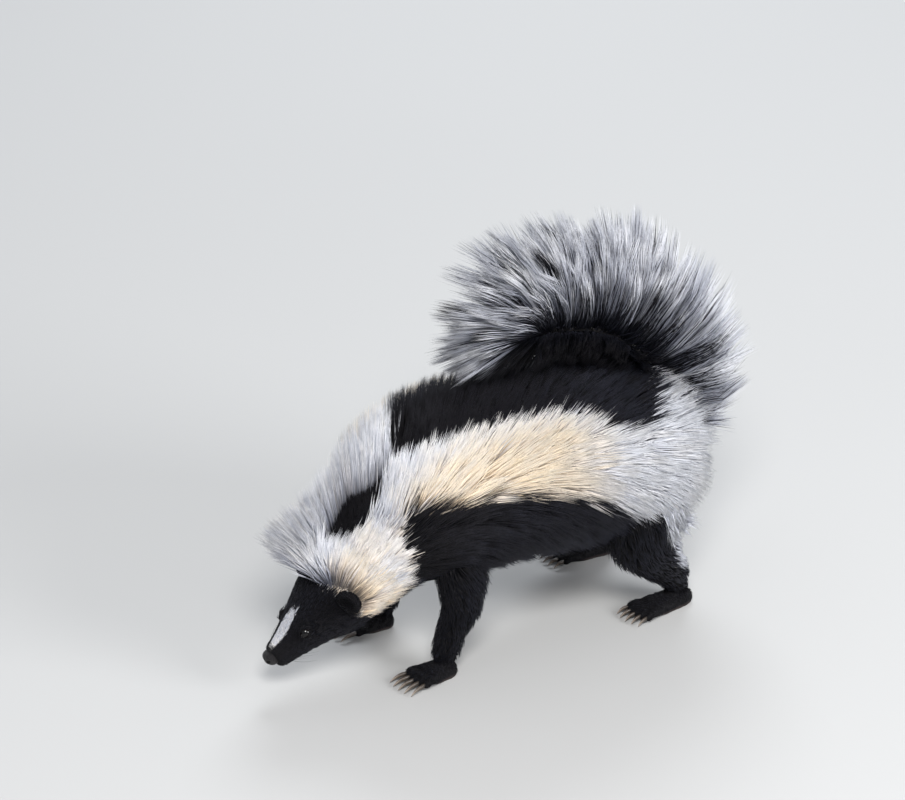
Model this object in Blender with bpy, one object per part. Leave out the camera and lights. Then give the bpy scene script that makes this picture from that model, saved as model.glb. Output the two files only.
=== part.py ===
"""A striped skunk, life size, foraging with its head down and its plumed tail carried over its back.

The animal faces -X and stands on the floor, Z = 0. Its left side faces -Y. Lengths are in metres, and the
station tables are in millimetres. The finished model is centred on the origin, seen from above.
"""

import math
import random
from collections import namedtuple

import bmesh
import bpy
import numpy as np

MM = 0.001
GAP = 0.35 * MM

# How many sides each tube's rings have.
BODY_SIDES = 28
TAIL_SIDES = 20
PLUME_RINGS = 6
LEG_SIDES = 12

# One ring of a tube: its centre, its half width, its reach above and below the centre, and the coat's depth.
Station = namedtuple("Station", "x y z half_width up down coat")

# The head, neck and trunk, from the nose to the rump: the skin under the coat.
BODY = [
    Station(-181, 0, 27, 8.5, 8, 8, 1.0),
    Station(-174, 0, 31, 10.5, 9.5, 9, 1.5),
    Station(-165, 0, 37, 14, 12.5, 11, 2.0),
    Station(-154, 0, 45, 20, 16, 14.5, 2.5),
    Station(-142, 0, 53, 27, 20, 18.5, 3.5),
    Station(-129, 0, 62, 30, 24, 21, 5.0),
    Station(-116, 0, 72, 29, 26, 23, 10),
    Station(-102, 0, 85, 29, 29, 28, 16),
    Station(-84, 0, 100, 34, 34, 36, 19),
    Station(-62, 0, 112, 41, 43, 46, 20),
    Station(-30, 0, 120, 47, 46, 53, 20),
    Station(10, 0, 121, 52, 48, 55, 20),
    Station(50, 0, 118, 55, 49, 55, 20),
    Station(85, 0, 113, 55, 48, 55, 20),
    Station(112, 0, 109, 50, 46, 52, 28),
    Station(136, 0, 106, 44, 42, 48, 38),
]
BELLY_COAT = 14 * MM
UNDER_TAIL = (285 * MM, 335 * MM)
NOSE_ROUND = 5 * MM
RUMP_ROUND = 44 * MM
NECK_START = 84 * MM
TRUNK_START = 116 * MM
SEAM_OVERLAP = 20 * MM
SEAM_SLOPE = 1.8
SEAM_ANGLES = (60, 100)
SEAM_HEIGHTS = (0, 6, 14, 26, 42, 66)

# The erect mane on the crown, nape and shoulders: (distance from the nose, height above the skin).
CREST = [(42, 0), (50, 36), (60, 48), (84, 44), (105, 35), (130, 32), (160, 31), (200, 24), (240, 20)]
CREST_SIDES = (60, 115)
CREST_BEHIND_EARS = 20 * MM
CREST_EAR_ANGLES = (25, 55)
CREST_START = 46 * MM

# The locks of the coat. The close-packed part under them reaches up by a share of the coat's depth.
CORE_SHARE = 0.45
LOCK_ROWS = {"head": 12 * MM, "neck": 12 * MM, "torso": 37 * MM}
LOCK_WIDTHS = {"head": 27 * MM, "neck": 40 * MM, "torso": 37 * MM}
LOCK_OVERLAP = 1.08
LOCK_CROWDING = 1.25
LOCK_TAPER = (0.9, 1.0, 0.66)
LOCK_THICKNESS = (9 * MM, 9 * MM, 6 * MM)
LOCK_SINK = 5 * MM
LOCK_BEND = (0.75, 1.1, 1.6)
SHORTEST_LOCK = 9 * MM
LONGEST_LOCK = 62 * MM
GRAVITY = 0.8

# How far a lock runs back along the body for each unit that it rises. The mane turns from forward on the
# crown to backward on the shoulders between two places.
COAT_SLOPE = 3.4
MANE_SLOPES = (-0.6, 1.6)
MANE_TURN = (70 * MM, 122 * MM)
MANE_HEIGHTS = (20 * MM, 38 * MM)
MANE_END = (210 * MM, 250 * MM)
COAT_END = (180 * MM, 300 * MM)

# The tail, from its root on the rump to the end of its bones, curving forward over the back. Its coat's
# depth is that of the plume on the outer side of the curve.
TAIL = [
    Station(112, 0, 128, 17, 15, 15, 66),
    Station(119, 0, 150, 13, 12, 12, 72),
    Station(109, 0, 177, 10.5, 10, 10, 74),
    Station(84, 0, 199, 9, 9, 9, 76),
    Station(50, 0, 211, 8, 8, 8, 72),
    Station(26, 0, 213, 7, 7, 7, 62),
    Station(8, 0, 210, 5.5, 5.5, 5.5, 46),
]
TAIL_ROUND = 8 * MM
TAIL_LENGTHS = {
    "tail_base": (10 * MM, 72 * MM),
    "tail_middle": (72 * MM, 122 * MM),
    "tail_tip": (122 * MM, 200 * MM),
}
PLUME_INNER = 12 * MM
PLUME_SPREAD = 1.1
PLUME_CORE = 0.3
PLUME_ROOM = 1.12
PLUME_TIP = 52 * MM
PLUME_ROW = 18 * MM
PLUME_AROUND = 7
PLUME_CROWDING = 1.3
PLUME_WIDTH = 38 * MM
PLUME_TAPER = (0.6, 0.9, 0.9)
PLUME_THICKNESS = (10 * MM, 14 * MM, 10 * MM)
TAIL_COAT_LONGEST = 76 * MM

# How far the plume's hair runs along the tail for each unit of its height: (distance from the root, share).
PLUME_LEAN = [(0, -0.25), (25, 0.1), (60, 0.35), (130, 0.5), (160, 0.8)]

# The legs, from inside the trunk to the wrist or heel. They are given for the left side, towards -Y.
FORELEG = [
    Station(-58, -26, 92, 16, 20, 20, 0),
    Station(-55, -34, 70, 15, 18, 18, 0),
    Station(-58, -39, 48, 12.5, 14, 14, 0),
    Station(-65, -39, 30, 9.5, 10.5, 10.5, 0),
    Station(-70, -39, 14, 8.5, 9, 9, 0),
    Station(-71, -39, 6, 7, 7, 7, 0),
]
HINDLEG = [
    Station(92, -32, 104, 22, 32, 32, 0),
    Station(86, -42, 82, 22, 35, 31, 0),
    Station(84, -48, 60, 17, 32, 24, 0),
    Station(98, -48, 40, 13, 20, 16, 0),
    Station(113, -46, 22, 9.5, 12, 11, 0),
    Station(117, -45, 12, 8, 9, 9, 0),
    Station(117, -45, 6, 6, 7, 7, 0),
]
LEG_ROUND = 14 * MM
ANKLE_TOP = 20 * MM

# A paw: the middle of its sole, and the sizes of the sole, the toes and the claws.
Paw = namedtuple("Paw", "x y length width height toe claw claw_radius yaw")
FOREPAW = Paw(-76 * MM, -40 * MM, 25 * MM, 22 * MM, 13 * MM, 10 * MM, 12 * MM, 1.7 * MM, 6)
HINDPAW = Paw(109 * MM, -46 * MM, 40 * MM, 22 * MM, 13 * MM, 11 * MM, 8 * MM, 1.5 * MM, 6)
TOE_LENGTHS = (0.78, 0.95, 1.0, 0.97, 0.84)
TOE_RADIUS = 3.2 * MM
CLAW_CURVE = [(0.05, 0), (0.55, -0.3), (1, -2.7)]
CLAW_TAPER = (1, 0.75, 0.16)

# The head's features. Distances run along the body's centre line from the nose.
EYE_RADIUS = 4.7 * MM
EYE_AT = 26 * MM
EYE_ANGLE = 57
EYE_OUT = -2.2 * MM
LID_HEIGHT = 2.7 * MM
LID_RADII = (5.4 * MM, 4.7 * MM)
LID_THICKNESS = 1.2 * MM
EAR_AT = 60 * MM
EAR_ANGLE = 62
EAR_OUT = 7 * MM
EAR_RADII = (9.2 * MM, 5.2 * MM, 11 * MM)
EAR_CUP_OFFSET = 4.3 * MM
EAR_CUP_SHARE = 0.80
MOUTH = [(2.5, 158), (8, 140), (17, 125), (29, 113)]
LIP_RADIUS = 1.6 * MM
LIP_HEIGHT = 1.0 * MM
MOUTH_RADIUS = 0.7 * MM
NOSE_RADII = (5.5 * MM, 6.6 * MM, 5.2 * MM)
NOSE_UP = 1.5 * MM
NOSTRIL_RADIUS = 1.4 * MM

BLACK = (0.012, 0.011, 0.012, 1)
WHITE = (0.86, 0.82, 0.72, 1)
WET_BLACK = (0.008, 0.006, 0.006, 1)
SKIN = (0.06, 0.045, 0.045, 1)


def material(name, colour, roughness):
    made = bpy.data.materials.new(name)
    made.use_nodes = True
    shader = made.node_tree.nodes["Principled BSDF"]
    shader.inputs["Base Color"].default_value = colour
    shader.inputs["Roughness"].default_value = roughness
    shader.inputs["Metallic"].default_value = 0.0
    return made


def unit(vectors):
    vectors = np.asarray(vectors, float)
    return vectors / np.linalg.norm(vectors, axis=-1, keepdims=True)


def ease(value, start, end):
    """0 up to the start, 1 from the end on, and smooth between them."""
    share = np.clip((value - start) / (end - start), 0, 1)
    return share**2 * (3 - 2 * share)


def along(knots, values, at):
    """The values at the places `at`, on a smooth curve that passes through `values` at `knots`."""
    at = np.clip(np.asarray(at, float), knots[0], knots[-1])
    slopes = np.gradient(values, knots, axis=0)
    left = np.clip(np.searchsorted(knots, at, side="right") - 1, 0, len(knots) - 2)
    span = (knots[left + 1] - knots[left])[..., None]
    u = (at - knots[left])[..., None] / span
    return (
        (1 + 2 * u) * (1 - u) ** 2 * values[left]
        + u * (1 - u) ** 2 * span * slopes[left]
        + u**2 * (3 - 2 * u) * values[left + 1]
        + u**2 * (u - 1) * span * slopes[left + 1]
    )


class Tube:
    """A body round a centre line. s is the distance along it, and angle 0 is its back, +90 its left side."""

    left = np.array([0.0, -1.0, 0.0])

    def __init__(self, stations, round_start=0.0, round_end=0.0):
        rows = np.array(stations, float) * MM
        self.centres, self.sizes = rows[:, :3], rows[:, 3:]
        steps = np.linalg.norm(np.diff(self.centres, axis=0), axis=1)
        self.knots = np.concatenate([[0.0], np.cumsum(steps)])
        self.length = self.knots[-1]
        self.round_start, self.round_end = round_start, round_end

    def centre(self, s):
        return along(self.knots, self.centres, s)

    def depth(self, s):
        """The coat's depth from the station table."""
        return along(self.knots, self.sizes, s)[..., 3]

    def frame(self, s):
        """The unit vectors along the tube, to its left and out of its back."""
        step = 0.5 * MM
        s = np.clip(s, step, self.length - step)
        tangent = unit(self.centre(s + step) - self.centre(s - step))
        left = unit(self.left - tangent * (tangent @ self.left)[..., None])
        return tangent, left, np.cross(left, tangent)

    def closing(self, s):
        """1 along the tube, falling to 0 as a round end closes."""
        share = np.ones_like(s)
        if self.round_start:
            share = np.minimum(share, np.clip(s / self.round_start, 0, 1))
        if self.round_end:
            share = np.minimum(share, np.clip((self.length - s) / self.round_end, 0, 1))
        return np.sqrt(1 - (1 - share) ** 2)

    def skin(self, s, angle):
        s, angle = np.broadcast_arrays(np.asarray(s, float), np.radians(angle))
        _, left, back = self.frame(s)
        width, up, down, _ = np.moveaxis(along(self.knots, self.sizes, s), -1, 0)
        round_off = self.closing(s)
        reach = np.where(np.cos(angle) > 0, up, down)
        return (
            self.centre(s)
            + left * (width * round_off * np.sin(angle))[..., None]
            + back * (reach * round_off * np.cos(angle))[..., None]
        )

    def normal(self, s, angle):
        """The unit vector out of the skin."""
        step, turn = 0.5 * MM, 1.0
        s = np.clip(s, 2 * step, self.length - 2 * step)
        lengthwise = self.skin(s + step, angle) - self.skin(s - step, angle)
        crosswise = self.skin(s, angle + turn) - self.skin(s, angle - turn)
        return unit(np.cross(crosswise, lengthwise))

    def point(self, s, angle, height=0.0):
        """The point that lies `height` above the skin."""
        return self.skin(s, angle) + self.normal(s, angle) * np.asarray(height)[..., None]

    def loft(self, places, sides, height=lambda s, angle: 0.0 * s):
        """(points, faces) of the closed body through rings at `places`, height(s, angle) above the skin.

        A first place of 0 or a last place at the tube's length closes a round end in one point.
        """
        places = np.asarray(places, float)
        start_pole = self.round_start > 0 and places[0] == 0
        end_pole = self.round_end > 0 and places[-1] >= self.length
        rings = places[int(start_pole) : len(places) - int(end_pole)]
        s, angle = np.meshgrid(rings, np.arange(sides) * 360.0 / sides, indexing="ij")
        points = list(self.point(s, angle, height(s, angle)).reshape(-1, 3))
        faces = []
        for ring in range(len(rings) - 1):
            for side in range(sides):
                a, b = ring * sides + side, ring * sides + (side + 1) % sides
                faces.append((a, a + sides, b + sides, b))
        last = (len(rings) - 1) * sides
        for pole, start, place, sign in ((start_pole, 0, places[0], -1), (end_pole, last, places[-1], 1)):
            place = np.array(place)
            reach = height(place, np.array(0.0)) if pole else 0.0
            points.append(self.centre(place) + self.frame(place)[0] * sign * reach)
            faces += [(start + side, start + (side + 1) % sides, len(points) - 1) for side in range(sides)]
        return points, faces


def body_coat(s, angle):
    """The depth of the coat on the head, neck and trunk, with the mane along the back of the neck."""
    s, angle = np.broadcast_arrays(np.asarray(s, float), np.asarray(angle, float))
    turn = np.abs((angle + 180) % 360 - 180)
    base = BODY_TUBE.depth(s)
    under = ease(turn, 100, 165) * (1 - ease(s, *UNDER_TAIL))
    base = base + np.minimum(BELLY_COAT - base, 0) * under
    places, heights = np.array(CREST).T * MM
    crest = np.interp(s - CREST_BEHIND_EARS * ease(turn, *CREST_EAR_ANGLES), places, heights)
    return base + np.maximum(crest - base, 0) * (1 - ease(turn, *CREST_SIDES))


def body_core(s, angle):
    """The height of the close-packed part of the coat, under the free ends of its locks."""
    return body_coat(s, angle) * CORE_SHARE


def tail_coat(s, angle):
    """The depth of the tail's plume, which is long on the outer side of its curve."""
    s, angle = np.broadcast_arrays(np.asarray(s, float), np.radians(angle))
    outward = ((1 - np.cos(angle)) / 2) ** PLUME_SPREAD
    return PLUME_INNER + (TAIL_TUBE.depth(s) - PLUME_INNER) * outward


def tail_lean(s):
    places, shares = np.array(PLUME_LEAN).T
    return np.interp(s, places * MM, shares)


def plume_point(s, angle, height):
    """The point at `height` over the tail's skin, carried along the lean of the hair."""
    s, angle = np.broadcast_arrays(np.asarray(s, float), np.asarray(angle, float))
    s = np.minimum(s, TAIL_TUBE.length - TAIL_ROUND / 2)
    tangent, _, _ = TAIL_TUBE.frame(s)
    rim = TAIL_TUBE.skin(s, angle)
    outward = unit(rim - TAIL_TUBE.centre(s))
    height = np.asarray(height)[..., None]
    return rim + (outward + tangent * tail_lean(s)[..., None]) * height


def plume_loft(start, end, share=1.0, grow=0.0):
    """(points, faces) of a length of the plume. Its ends lean with the hair.

    share is how much of the hair's height it takes in. An end past the tail's bones closes in a round tip.
    """
    closed = end >= TAIL_TUBE.length
    last = TAIL_TUBE.length - TAIL_ROUND if closed else end + grow
    places = np.linspace(start - grow, last, PLUME_RINGS)
    angles = np.arange(TAIL_SIDES) * 360.0 / TAIL_SIDES
    rings = [plume_point(places[0], angles, 0 * angles - grow)]
    rings += [plume_point(place, angles, tail_coat(place, angles) * share + grow) for place in places]
    foot = TAIL_TUBE.centre(places[0])
    if closed:
        tangent, left, back = TAIL_TUBE.frame(np.array(last))
        centre, tip = TAIL_TUBE.centre(last), TAIL_ROUND + PLUME_TIP * share + grow
        for turn in np.radians((30, 55, 75)):
            rings.append(centre + (rings[PLUME_RINGS] - centre) * math.cos(turn) + tangent * tip * math.sin(turn))
        head = centre + tangent * tip
    else:
        rings.append(plume_point(last, angles, 0 * angles - grow))
        head = TAIL_TUBE.centre(last)
    points = [foot, head] + list(np.concatenate(rings))
    faces = []
    for ring in range(len(rings) - 1):
        for side in range(TAIL_SIDES):
            a, b = 2 + ring * TAIL_SIDES + side, 2 + ring * TAIL_SIDES + (side + 1) % TAIL_SIDES
            faces.append((a, a + TAIL_SIDES, b + TAIL_SIDES, b))
    final = 2 + (len(rings) - 1) * TAIL_SIDES
    for side in range(TAIL_SIDES):
        following = (side + 1) % TAIL_SIDES
        faces += [(0, 2 + side, 2 + following), (1, final + following, final + side)]
    return points, faces


def object_from(name, points, faces):
    """A closed mesh object with its faces pointing out."""
    mesh = bpy.data.meshes.new(name)
    mesh.from_pydata([tuple(p) for p in points], [], faces)
    work = bmesh.new()
    work.from_mesh(mesh)
    bmesh.ops.triangulate(work, faces=work.faces)
    bmesh.ops.recalc_face_normals(work, faces=work.faces)
    work.to_mesh(mesh)
    work.free()
    made = bpy.data.objects.new(name, mesh)
    bpy.context.scene.collection.objects.link(made)
    return made


def ellipsoid(name, centre, axes, radii, segments=24, rings=12):
    """An ellipsoid whose poles lie on the third axis."""
    points, faces = [], []
    for ring in range(1, rings):
        polar = math.pi * ring / rings
        for segment in range(segments):
            turn = 2 * math.pi * segment / segments
            local = (math.sin(polar) * math.cos(turn), math.sin(polar) * math.sin(turn), math.cos(polar))
            points.append(centre + sum(axis * radius * part for axis, radius, part in zip(axes, radii, local)))
    for ring in range(rings - 2):
        for segment in range(segments):
            a, b = ring * segments + segment, ring * segments + (segment + 1) % segments
            faces.append((a, b, b + segments, a + segments))
    for pole, start in ((1, 0), (-1, (rings - 2) * segments)):
        points.append(centre + axes[2] * radii[2] * pole)
        faces += [(start + k, start + (k + 1) % segments, len(points) - 1) for k in range(segments)]
    return object_from(name, points, faces)


def sweep(name, path, radii, sides=8, upright=(0, 0, 1)):
    """A round bar along a path, with each end a blunt point."""
    path, radii = np.asarray(path, float), np.asarray(radii, float)
    tangents = unit(np.gradient(path, axis=0))
    across = unit(np.cross(tangents, upright))
    over = np.cross(across, tangents)
    turns = 2 * np.pi * np.arange(sides) / sides
    points = list(
        (
            path[:, None]
            + across[:, None] * (np.cos(turns)[:, None] * radii[:, None, None])
            + over[:, None] * (np.sin(turns)[:, None] * radii[:, None, None])
        ).reshape(-1, 3)
    )
    faces = []
    for ring in range(len(path) - 1):
        for side in range(sides):
            a, b = ring * sides + side, ring * sides + (side + 1) % sides
            faces.append((a, b, b + sides, a + sides))
    for end, start in ((0, 0), (-1, (len(path) - 1) * sides)):
        sign = -1 if end == 0 else 1
        points.append(path[end] + tangents[end] * radii[end] * 0.7 * sign)
        faces += [(start + k, start + (k + 1) % sides, len(points) - 1) for k in range(sides)]
    return object_from(name, points, faces)


def torus(name, centre, axes, radii, thickness, segments=12, sides=5):
    """A ring in the plane of the first two axes."""
    points, faces = [], []
    for segment in range(segments):
        turn = 2 * math.pi * segment / segments
        rim = centre + axes[0] * radii[0] * math.cos(turn) + axes[1] * radii[1] * math.sin(turn)
        outward = unit(rim - centre)
        for side in range(sides):
            roll = 2 * math.pi * side / sides
            points.append(rim + (outward * math.cos(roll) + axes[2] * math.sin(roll)) * thickness)
    for segment in range(segments):
        following = (segment + 1) % segments
        for side in range(sides):
            a, b = segment * sides + side, segment * sides + (side + 1) % sides
            c, d = following * sides + (side + 1) % sides, following * sides + side
            faces.append((a, b, c, d))
    return object_from(name, points, faces)


def box(name, low, high):
    points = [(x, y, z) for x in (low[0], high[0]) for y in (low[1], high[1]) for z in (low[2], high[2])]
    faces = [(0, 1, 3, 2), (4, 6, 7, 5), (0, 4, 5, 1), (2, 3, 7, 6), (0, 2, 6, 4), (1, 5, 7, 3)]
    return object_from(name, points, faces)


def is_closed(mesh):
    uses = np.zeros(len(mesh.edges), int)
    links = np.zeros(len(mesh.loops), int)
    mesh.loops.foreach_get("edge_index", links)
    np.add.at(uses, links, 1)
    return bool(np.all(uses == 2))


def lock(path, across, widths, thicknesses, sides):
    """A flat lock of hair along a path of points, from its blunt root to its pointed tip."""
    path = np.asarray(path, float)
    flow = unit(np.gradient(path, axis=0))
    across = unit(across - flow * (flow @ across)[:, None])
    over = np.cross(across, flow)
    turns = 2 * np.pi * np.arange(sides) / sides + np.pi / 2
    points = []
    for centre, aside, up, width, thickness in zip(path[:-1], across, over, widths, thicknesses):
        points += [
            centre + aside * width / 2 * math.cos(turn) + up * thickness / 2 * math.sin(turn) for turn in turns
        ]
    points.append(path[-1])
    faces = [tuple(range(sides))]
    for ring in range(len(path) - 2):
        for side in range(sides):
            a, b = ring * sides + side, ring * sides + (side + 1) % sides
            faces.append((a, b, b + sides, a + sides))
    last = (len(path) - 2) * sides
    faces += [(last + side, last + (side + 1) % sides, len(points) - 1) for side in range(sides)]
    return object_from("lock", points, faces)


def lock_slope(s, erect):
    """How far the hair runs back for each unit that it rises; below 0 it falls forward."""
    forward, back = MANE_SLOPES
    mane = forward + (back - forward) * float(ease(s, *MANE_TURN))
    return COAT_SLOPE + (mane - COAT_SLOPE) * erect


def seam_slope(place, angle):
    """How far a seam runs back for each unit above the skin: with the mane, or with the lying coat."""
    mane = lock_slope(place, 1)
    return mane + (SEAM_SLOPE - mane) * ease(np.abs((angle + 180) % 360 - 180), *SEAM_ANGLES)


def body_locks(name, start, end):
    """The locks of one node of the body, in staggered rows that overlap along the lie of the coat."""
    draw = random.Random(round(start / MM))
    s = np.linspace(start, end, 100)
    run = np.concatenate([[0], np.cumsum(np.linalg.norm(np.diff(BODY_TUBE.skin(s, 90.0), axis=0), axis=1))])
    rows = round(run[-1] / LOCK_ROWS[name])
    locks = []
    for row, place in enumerate(np.interp((np.arange(rows) + 0.3) * run[-1] / rows, run, s)):
        ring = BODY_TUBE.point(place, np.linspace(0, 360, 25), body_core(place, 90.0))
        count = round(np.linalg.norm(np.diff(ring, axis=0), axis=1).sum() / LOCK_WIDTHS[name])
        for item in range(count):
            turn = ((item + row % 2 / 2 + draw.uniform(-0.2, 0.2)) * 2 / count + 1) % 2 - 1
            angle = math.copysign(abs(turn) ** LOCK_CROWDING, turn) * 180
            behind_seam = seam_slope(place, angle) * float(body_core(place, angle)) * (1 - ease(place, *COAT_END))
            s = place + behind_seam + draw.uniform(-3, 3) * MM
            locks.append(body_lock(s, angle, LOCK_WIDTHS[name], draw))
    return [made for made in locks if made]


def body_lock(s, angle, width, draw):
    """One lock of the trunk, neck or crown: it lies back and down, or stands up in the mane."""
    height = float(body_coat(s, angle))
    if height < SHORTEST_LOCK:
        return None
    at, turn = np.array(min(s, BODY_TUBE.length - MM)), np.array(float(angle))
    core = float(body_core(s, angle))
    root, outward = BODY_TUBE.point(at, turn, core), BODY_TUBE.normal(at, turn)
    erect = float(ease(height, *MANE_HEIGHTS)) * float(1 - ease(s, *MANE_END))
    lie = BODY_TUBE.frame(at)[0] * lock_slope(s, erect) + np.array([0, 0, -1.0]) * GRAVITY * (1 - erect)
    lie = lie - outward * (lie @ outward)
    across = unit(np.cross(lie, outward))
    sway = math.tan(math.radians(draw.uniform(-14, 14)))
    steps = unit([outward + lie * bend + across * sway for bend in LOCK_BEND])
    rise = (steps @ outward).mean()
    length = min((height - core) / rise, LONGEST_LOCK) * draw.uniform(0.92, 1.08)
    path = root + np.concatenate([[[0, 0, 0]], np.cumsum(steps, axis=0)]) * length / len(steps)
    path[0] -= outward * LOCK_SINK
    widths = width * LOCK_OVERLAP * draw.uniform(0.9, 1.15) * np.array(LOCK_TAPER)
    return lock(path, across, widths, LOCK_THICKNESS, 3 + (erect > 0.5))


def plume_locks(start, end):
    """The locks of one length of the tail, which fan out from its bones."""
    draw = random.Random(round(start / MM))
    end = min(end, TAIL_TUBE.length)
    rows = max(1, round((end - start) / PLUME_ROW))
    locks = []
    for row in range(rows):
        place = start + (row + 0.5) * (end - start) / rows
        for item in range(PLUME_AROUND):
            turn = ((item + row % 2 / 2 + draw.uniform(-0.2, 0.2)) * 2 / PLUME_AROUND + 1) % 2 - 1
            angle = 180 - 180 * math.copysign(abs(turn) ** PLUME_CROWDING, turn)
            s = place + draw.uniform(-0.2, 0.2) * PLUME_ROW
            height = float(tail_coat(s, angle)) * draw.uniform(0.82, 0.98)
            bend, sway = draw.uniform(-4, 14) * MM, draw.uniform(-14, 14)
            shares = np.array([PLUME_CORE - 0.08, 0.5, 0.8, 1.0])
            path = [plume_point(s + bend * share**2, angle + sway * share**2, height * share) for share in shares]
            tangent, left, back = TAIL_TUBE.frame(np.array(s))
            turn = math.radians(angle)
            width = PLUME_WIDTH * (0.45 + 0.55 * height / TAIL_COAT_LONGEST) * draw.uniform(0.85, 1.15)
            twist = draw.choice((-1, 1)) * draw.uniform(0.5, 1.5)
            aside = left * math.cos(turn) - back * math.sin(turn) + tangent * twist
            locks.append(lock(path, aside, width * np.array(PLUME_TAPER), PLUME_THICKNESS, 3))
    return locks


def combine(base, others, operation):
    """Joins closed meshes to the base, or cuts them out of it, and removes them.

    Where the exact solver leaves an open edge, the manifold solver does the work.
    """
    group = bpy.data.collections.new(base.name + "_pieces")
    bpy.context.scene.collection.children.link(group)
    for other in others:
        bpy.context.scene.collection.objects.unlink(other)
        group.objects.link(other)
    modifier = base.modifiers.new("combine", "BOOLEAN")
    modifier.operand_type = "COLLECTION"
    modifier.collection = group
    modifier.operation = operation
    for solver in ("EXACT", "MANIFOLD"):
        modifier.solver = solver
        bpy.context.view_layer.update()
        graph = bpy.context.evaluated_depsgraph_get()
        mesh = bpy.data.meshes.new_from_object(base.evaluated_get(graph))
        if is_closed(mesh):
            break
    base.modifiers.clear()
    base.data = mesh
    for other in others:
        bpy.data.objects.remove(other, do_unlink=True)
    bpy.data.collections.remove(group)
    return base


def keep_largest(made):
    """Keeps the mesh's largest closed surface, so that no loose scrap or sealed hollow stays."""
    work = bmesh.new()
    work.from_mesh(made.data)
    bmesh.ops.triangulate(work, faces=work.faces)
    left, surfaces = set(work.faces), []
    while left:
        todo, surface = [left.pop()], []
        while todo:
            face = todo.pop()
            surface.append(face)
            for edge in face.edges:
                found = [other for other in edge.link_faces if other in left]
                left.difference_update(found)
                todo += found
        surfaces.append(surface)

    def volume(surface):
        corners = [[vertex.co for vertex in face.verts] for face in surface]
        return abs(sum(a.dot(b.cross(c)) for a, b, c in corners))

    surfaces.sort(key=volume)
    for surface in surfaces[:-1]:
        bmesh.ops.delete(work, geom=list({vertex for face in surface for vertex in face.verts}), context="VERTS")
    work.to_mesh(made.data)
    work.free()
    return made


def finished(made, look, degrees=40):
    """Gives a node its material and smooth shading."""
    made.data.materials.clear()
    made.data.materials.append(look)
    made.data.shade_smooth()
    made.data.set_sharp_from_angle(angle=math.radians(degrees))
    return made


def parting(place):
    """A thin shell across the body at `place`, which parts two nodes along the lie of the coat."""
    angles = np.arange(BODY_SIDES) * 360.0 / BODY_SIDES
    slope = seam_slope(place, angles)
    half = GAP / 2 * np.sqrt(1 + slope**2)
    points, faces = [], []
    for sign in (-1, 1):
        points.append(BODY_TUBE.centre(place + sign * GAP / 2))
        for height in np.array(SEAM_HEIGHTS) * MM:
            points.extend(BODY_TUBE.point(place + sign * half + slope * height, angles, height + 0 * angles))
    sheet, layers = 1 + BODY_SIDES * len(SEAM_HEIGHTS), len(SEAM_HEIGHTS)
    for start in (0, sheet):
        for side in range(BODY_SIDES):
            following = (side + 1) % BODY_SIDES
            faces.append((start, start + 1 + side, start + 1 + following))
            for ring in range(layers - 1):
                a, b = start + 1 + ring * BODY_SIDES + side, start + 1 + ring * BODY_SIDES + following
                faces.append((a, a + BODY_SIDES, b + BODY_SIDES, b))
    edge = 1 + (layers - 1) * BODY_SIDES
    for side in range(BODY_SIDES):
        following = (side + 1) % BODY_SIDES
        faces.append((edge + side, edge + sheet + side, edge + sheet + following, edge + following))
    return object_from("parting", points, faces)


def mirrored(stations):
    return [station._replace(y=-station.y) for station in stations]


def paw_pieces(spec, side):
    """The sole, toes and claws of one foot. side is -1 for the left and +1 for the right."""
    turn = math.radians(spec.yaw)
    forward = np.array([-math.cos(turn), side * math.sin(turn), 0.0])
    across = np.array([math.sin(turn), side * math.cos(turn), 0.0])
    middle = np.array([spec.x, -side * spec.y, 0.0])
    up = np.array([0.0, 0.0, 1.0])
    profile = [(-0.5, 0.30, 0.75), (-0.3, 0.42, 1.0), (0.05, 0.46, 0.95), (0.32, 0.5, 0.72), (0.5, 0.4, 0.45)]
    path = [middle + forward * spec.length * share + up * spec.height * 0.3 for share, _, _ in profile]
    rows = [
        Station(*(point / MM), width * spec.width / MM, height * spec.height * 0.7 / MM, 6, 0)
        for point, (_, width, height) in zip(path, profile)
    ]
    sole = Tube(rows, round_start=spec.length * 0.12, round_end=spec.length * 0.12)
    places = np.array([0, 0.05, 0.25, 0.55, 0.85, 0.96, 1.0]) * sole.length
    pieces = [object_from("sole", *sole.loft(places, 8))]
    for toe, share in enumerate(TOE_LENGTHS):
        spread = (toe - 2) / 2
        root = middle + forward * (spec.length * 0.5 - 6 * MM) + across * spread * spec.width * 0.37
        aim = unit(forward + across * spread * 0.14)
        reach = 6 * MM + spec.toe * share
        end = root + aim * reach + up * 4.0 * MM
        path = [root + up * 3.6 * MM, root + aim * reach * 0.75 + up * 3.6 * MM]
        path += [end + aim * spec.claw * run + up * rise * MM for run, rise in CLAW_CURVE]
        radii = [TOE_RADIUS, TOE_RADIUS * 0.92] + [spec.claw_radius * share for share in CLAW_TAPER]
        pieces.append(sweep("toe", path, radii, sides=5))
    return pieces


def leg_places(leg):
    return np.concatenate([[0, 0.12 * LEG_ROUND, 0.45 * LEG_ROUND], np.linspace(LEG_ROUND, leg.length, 6)])


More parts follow.
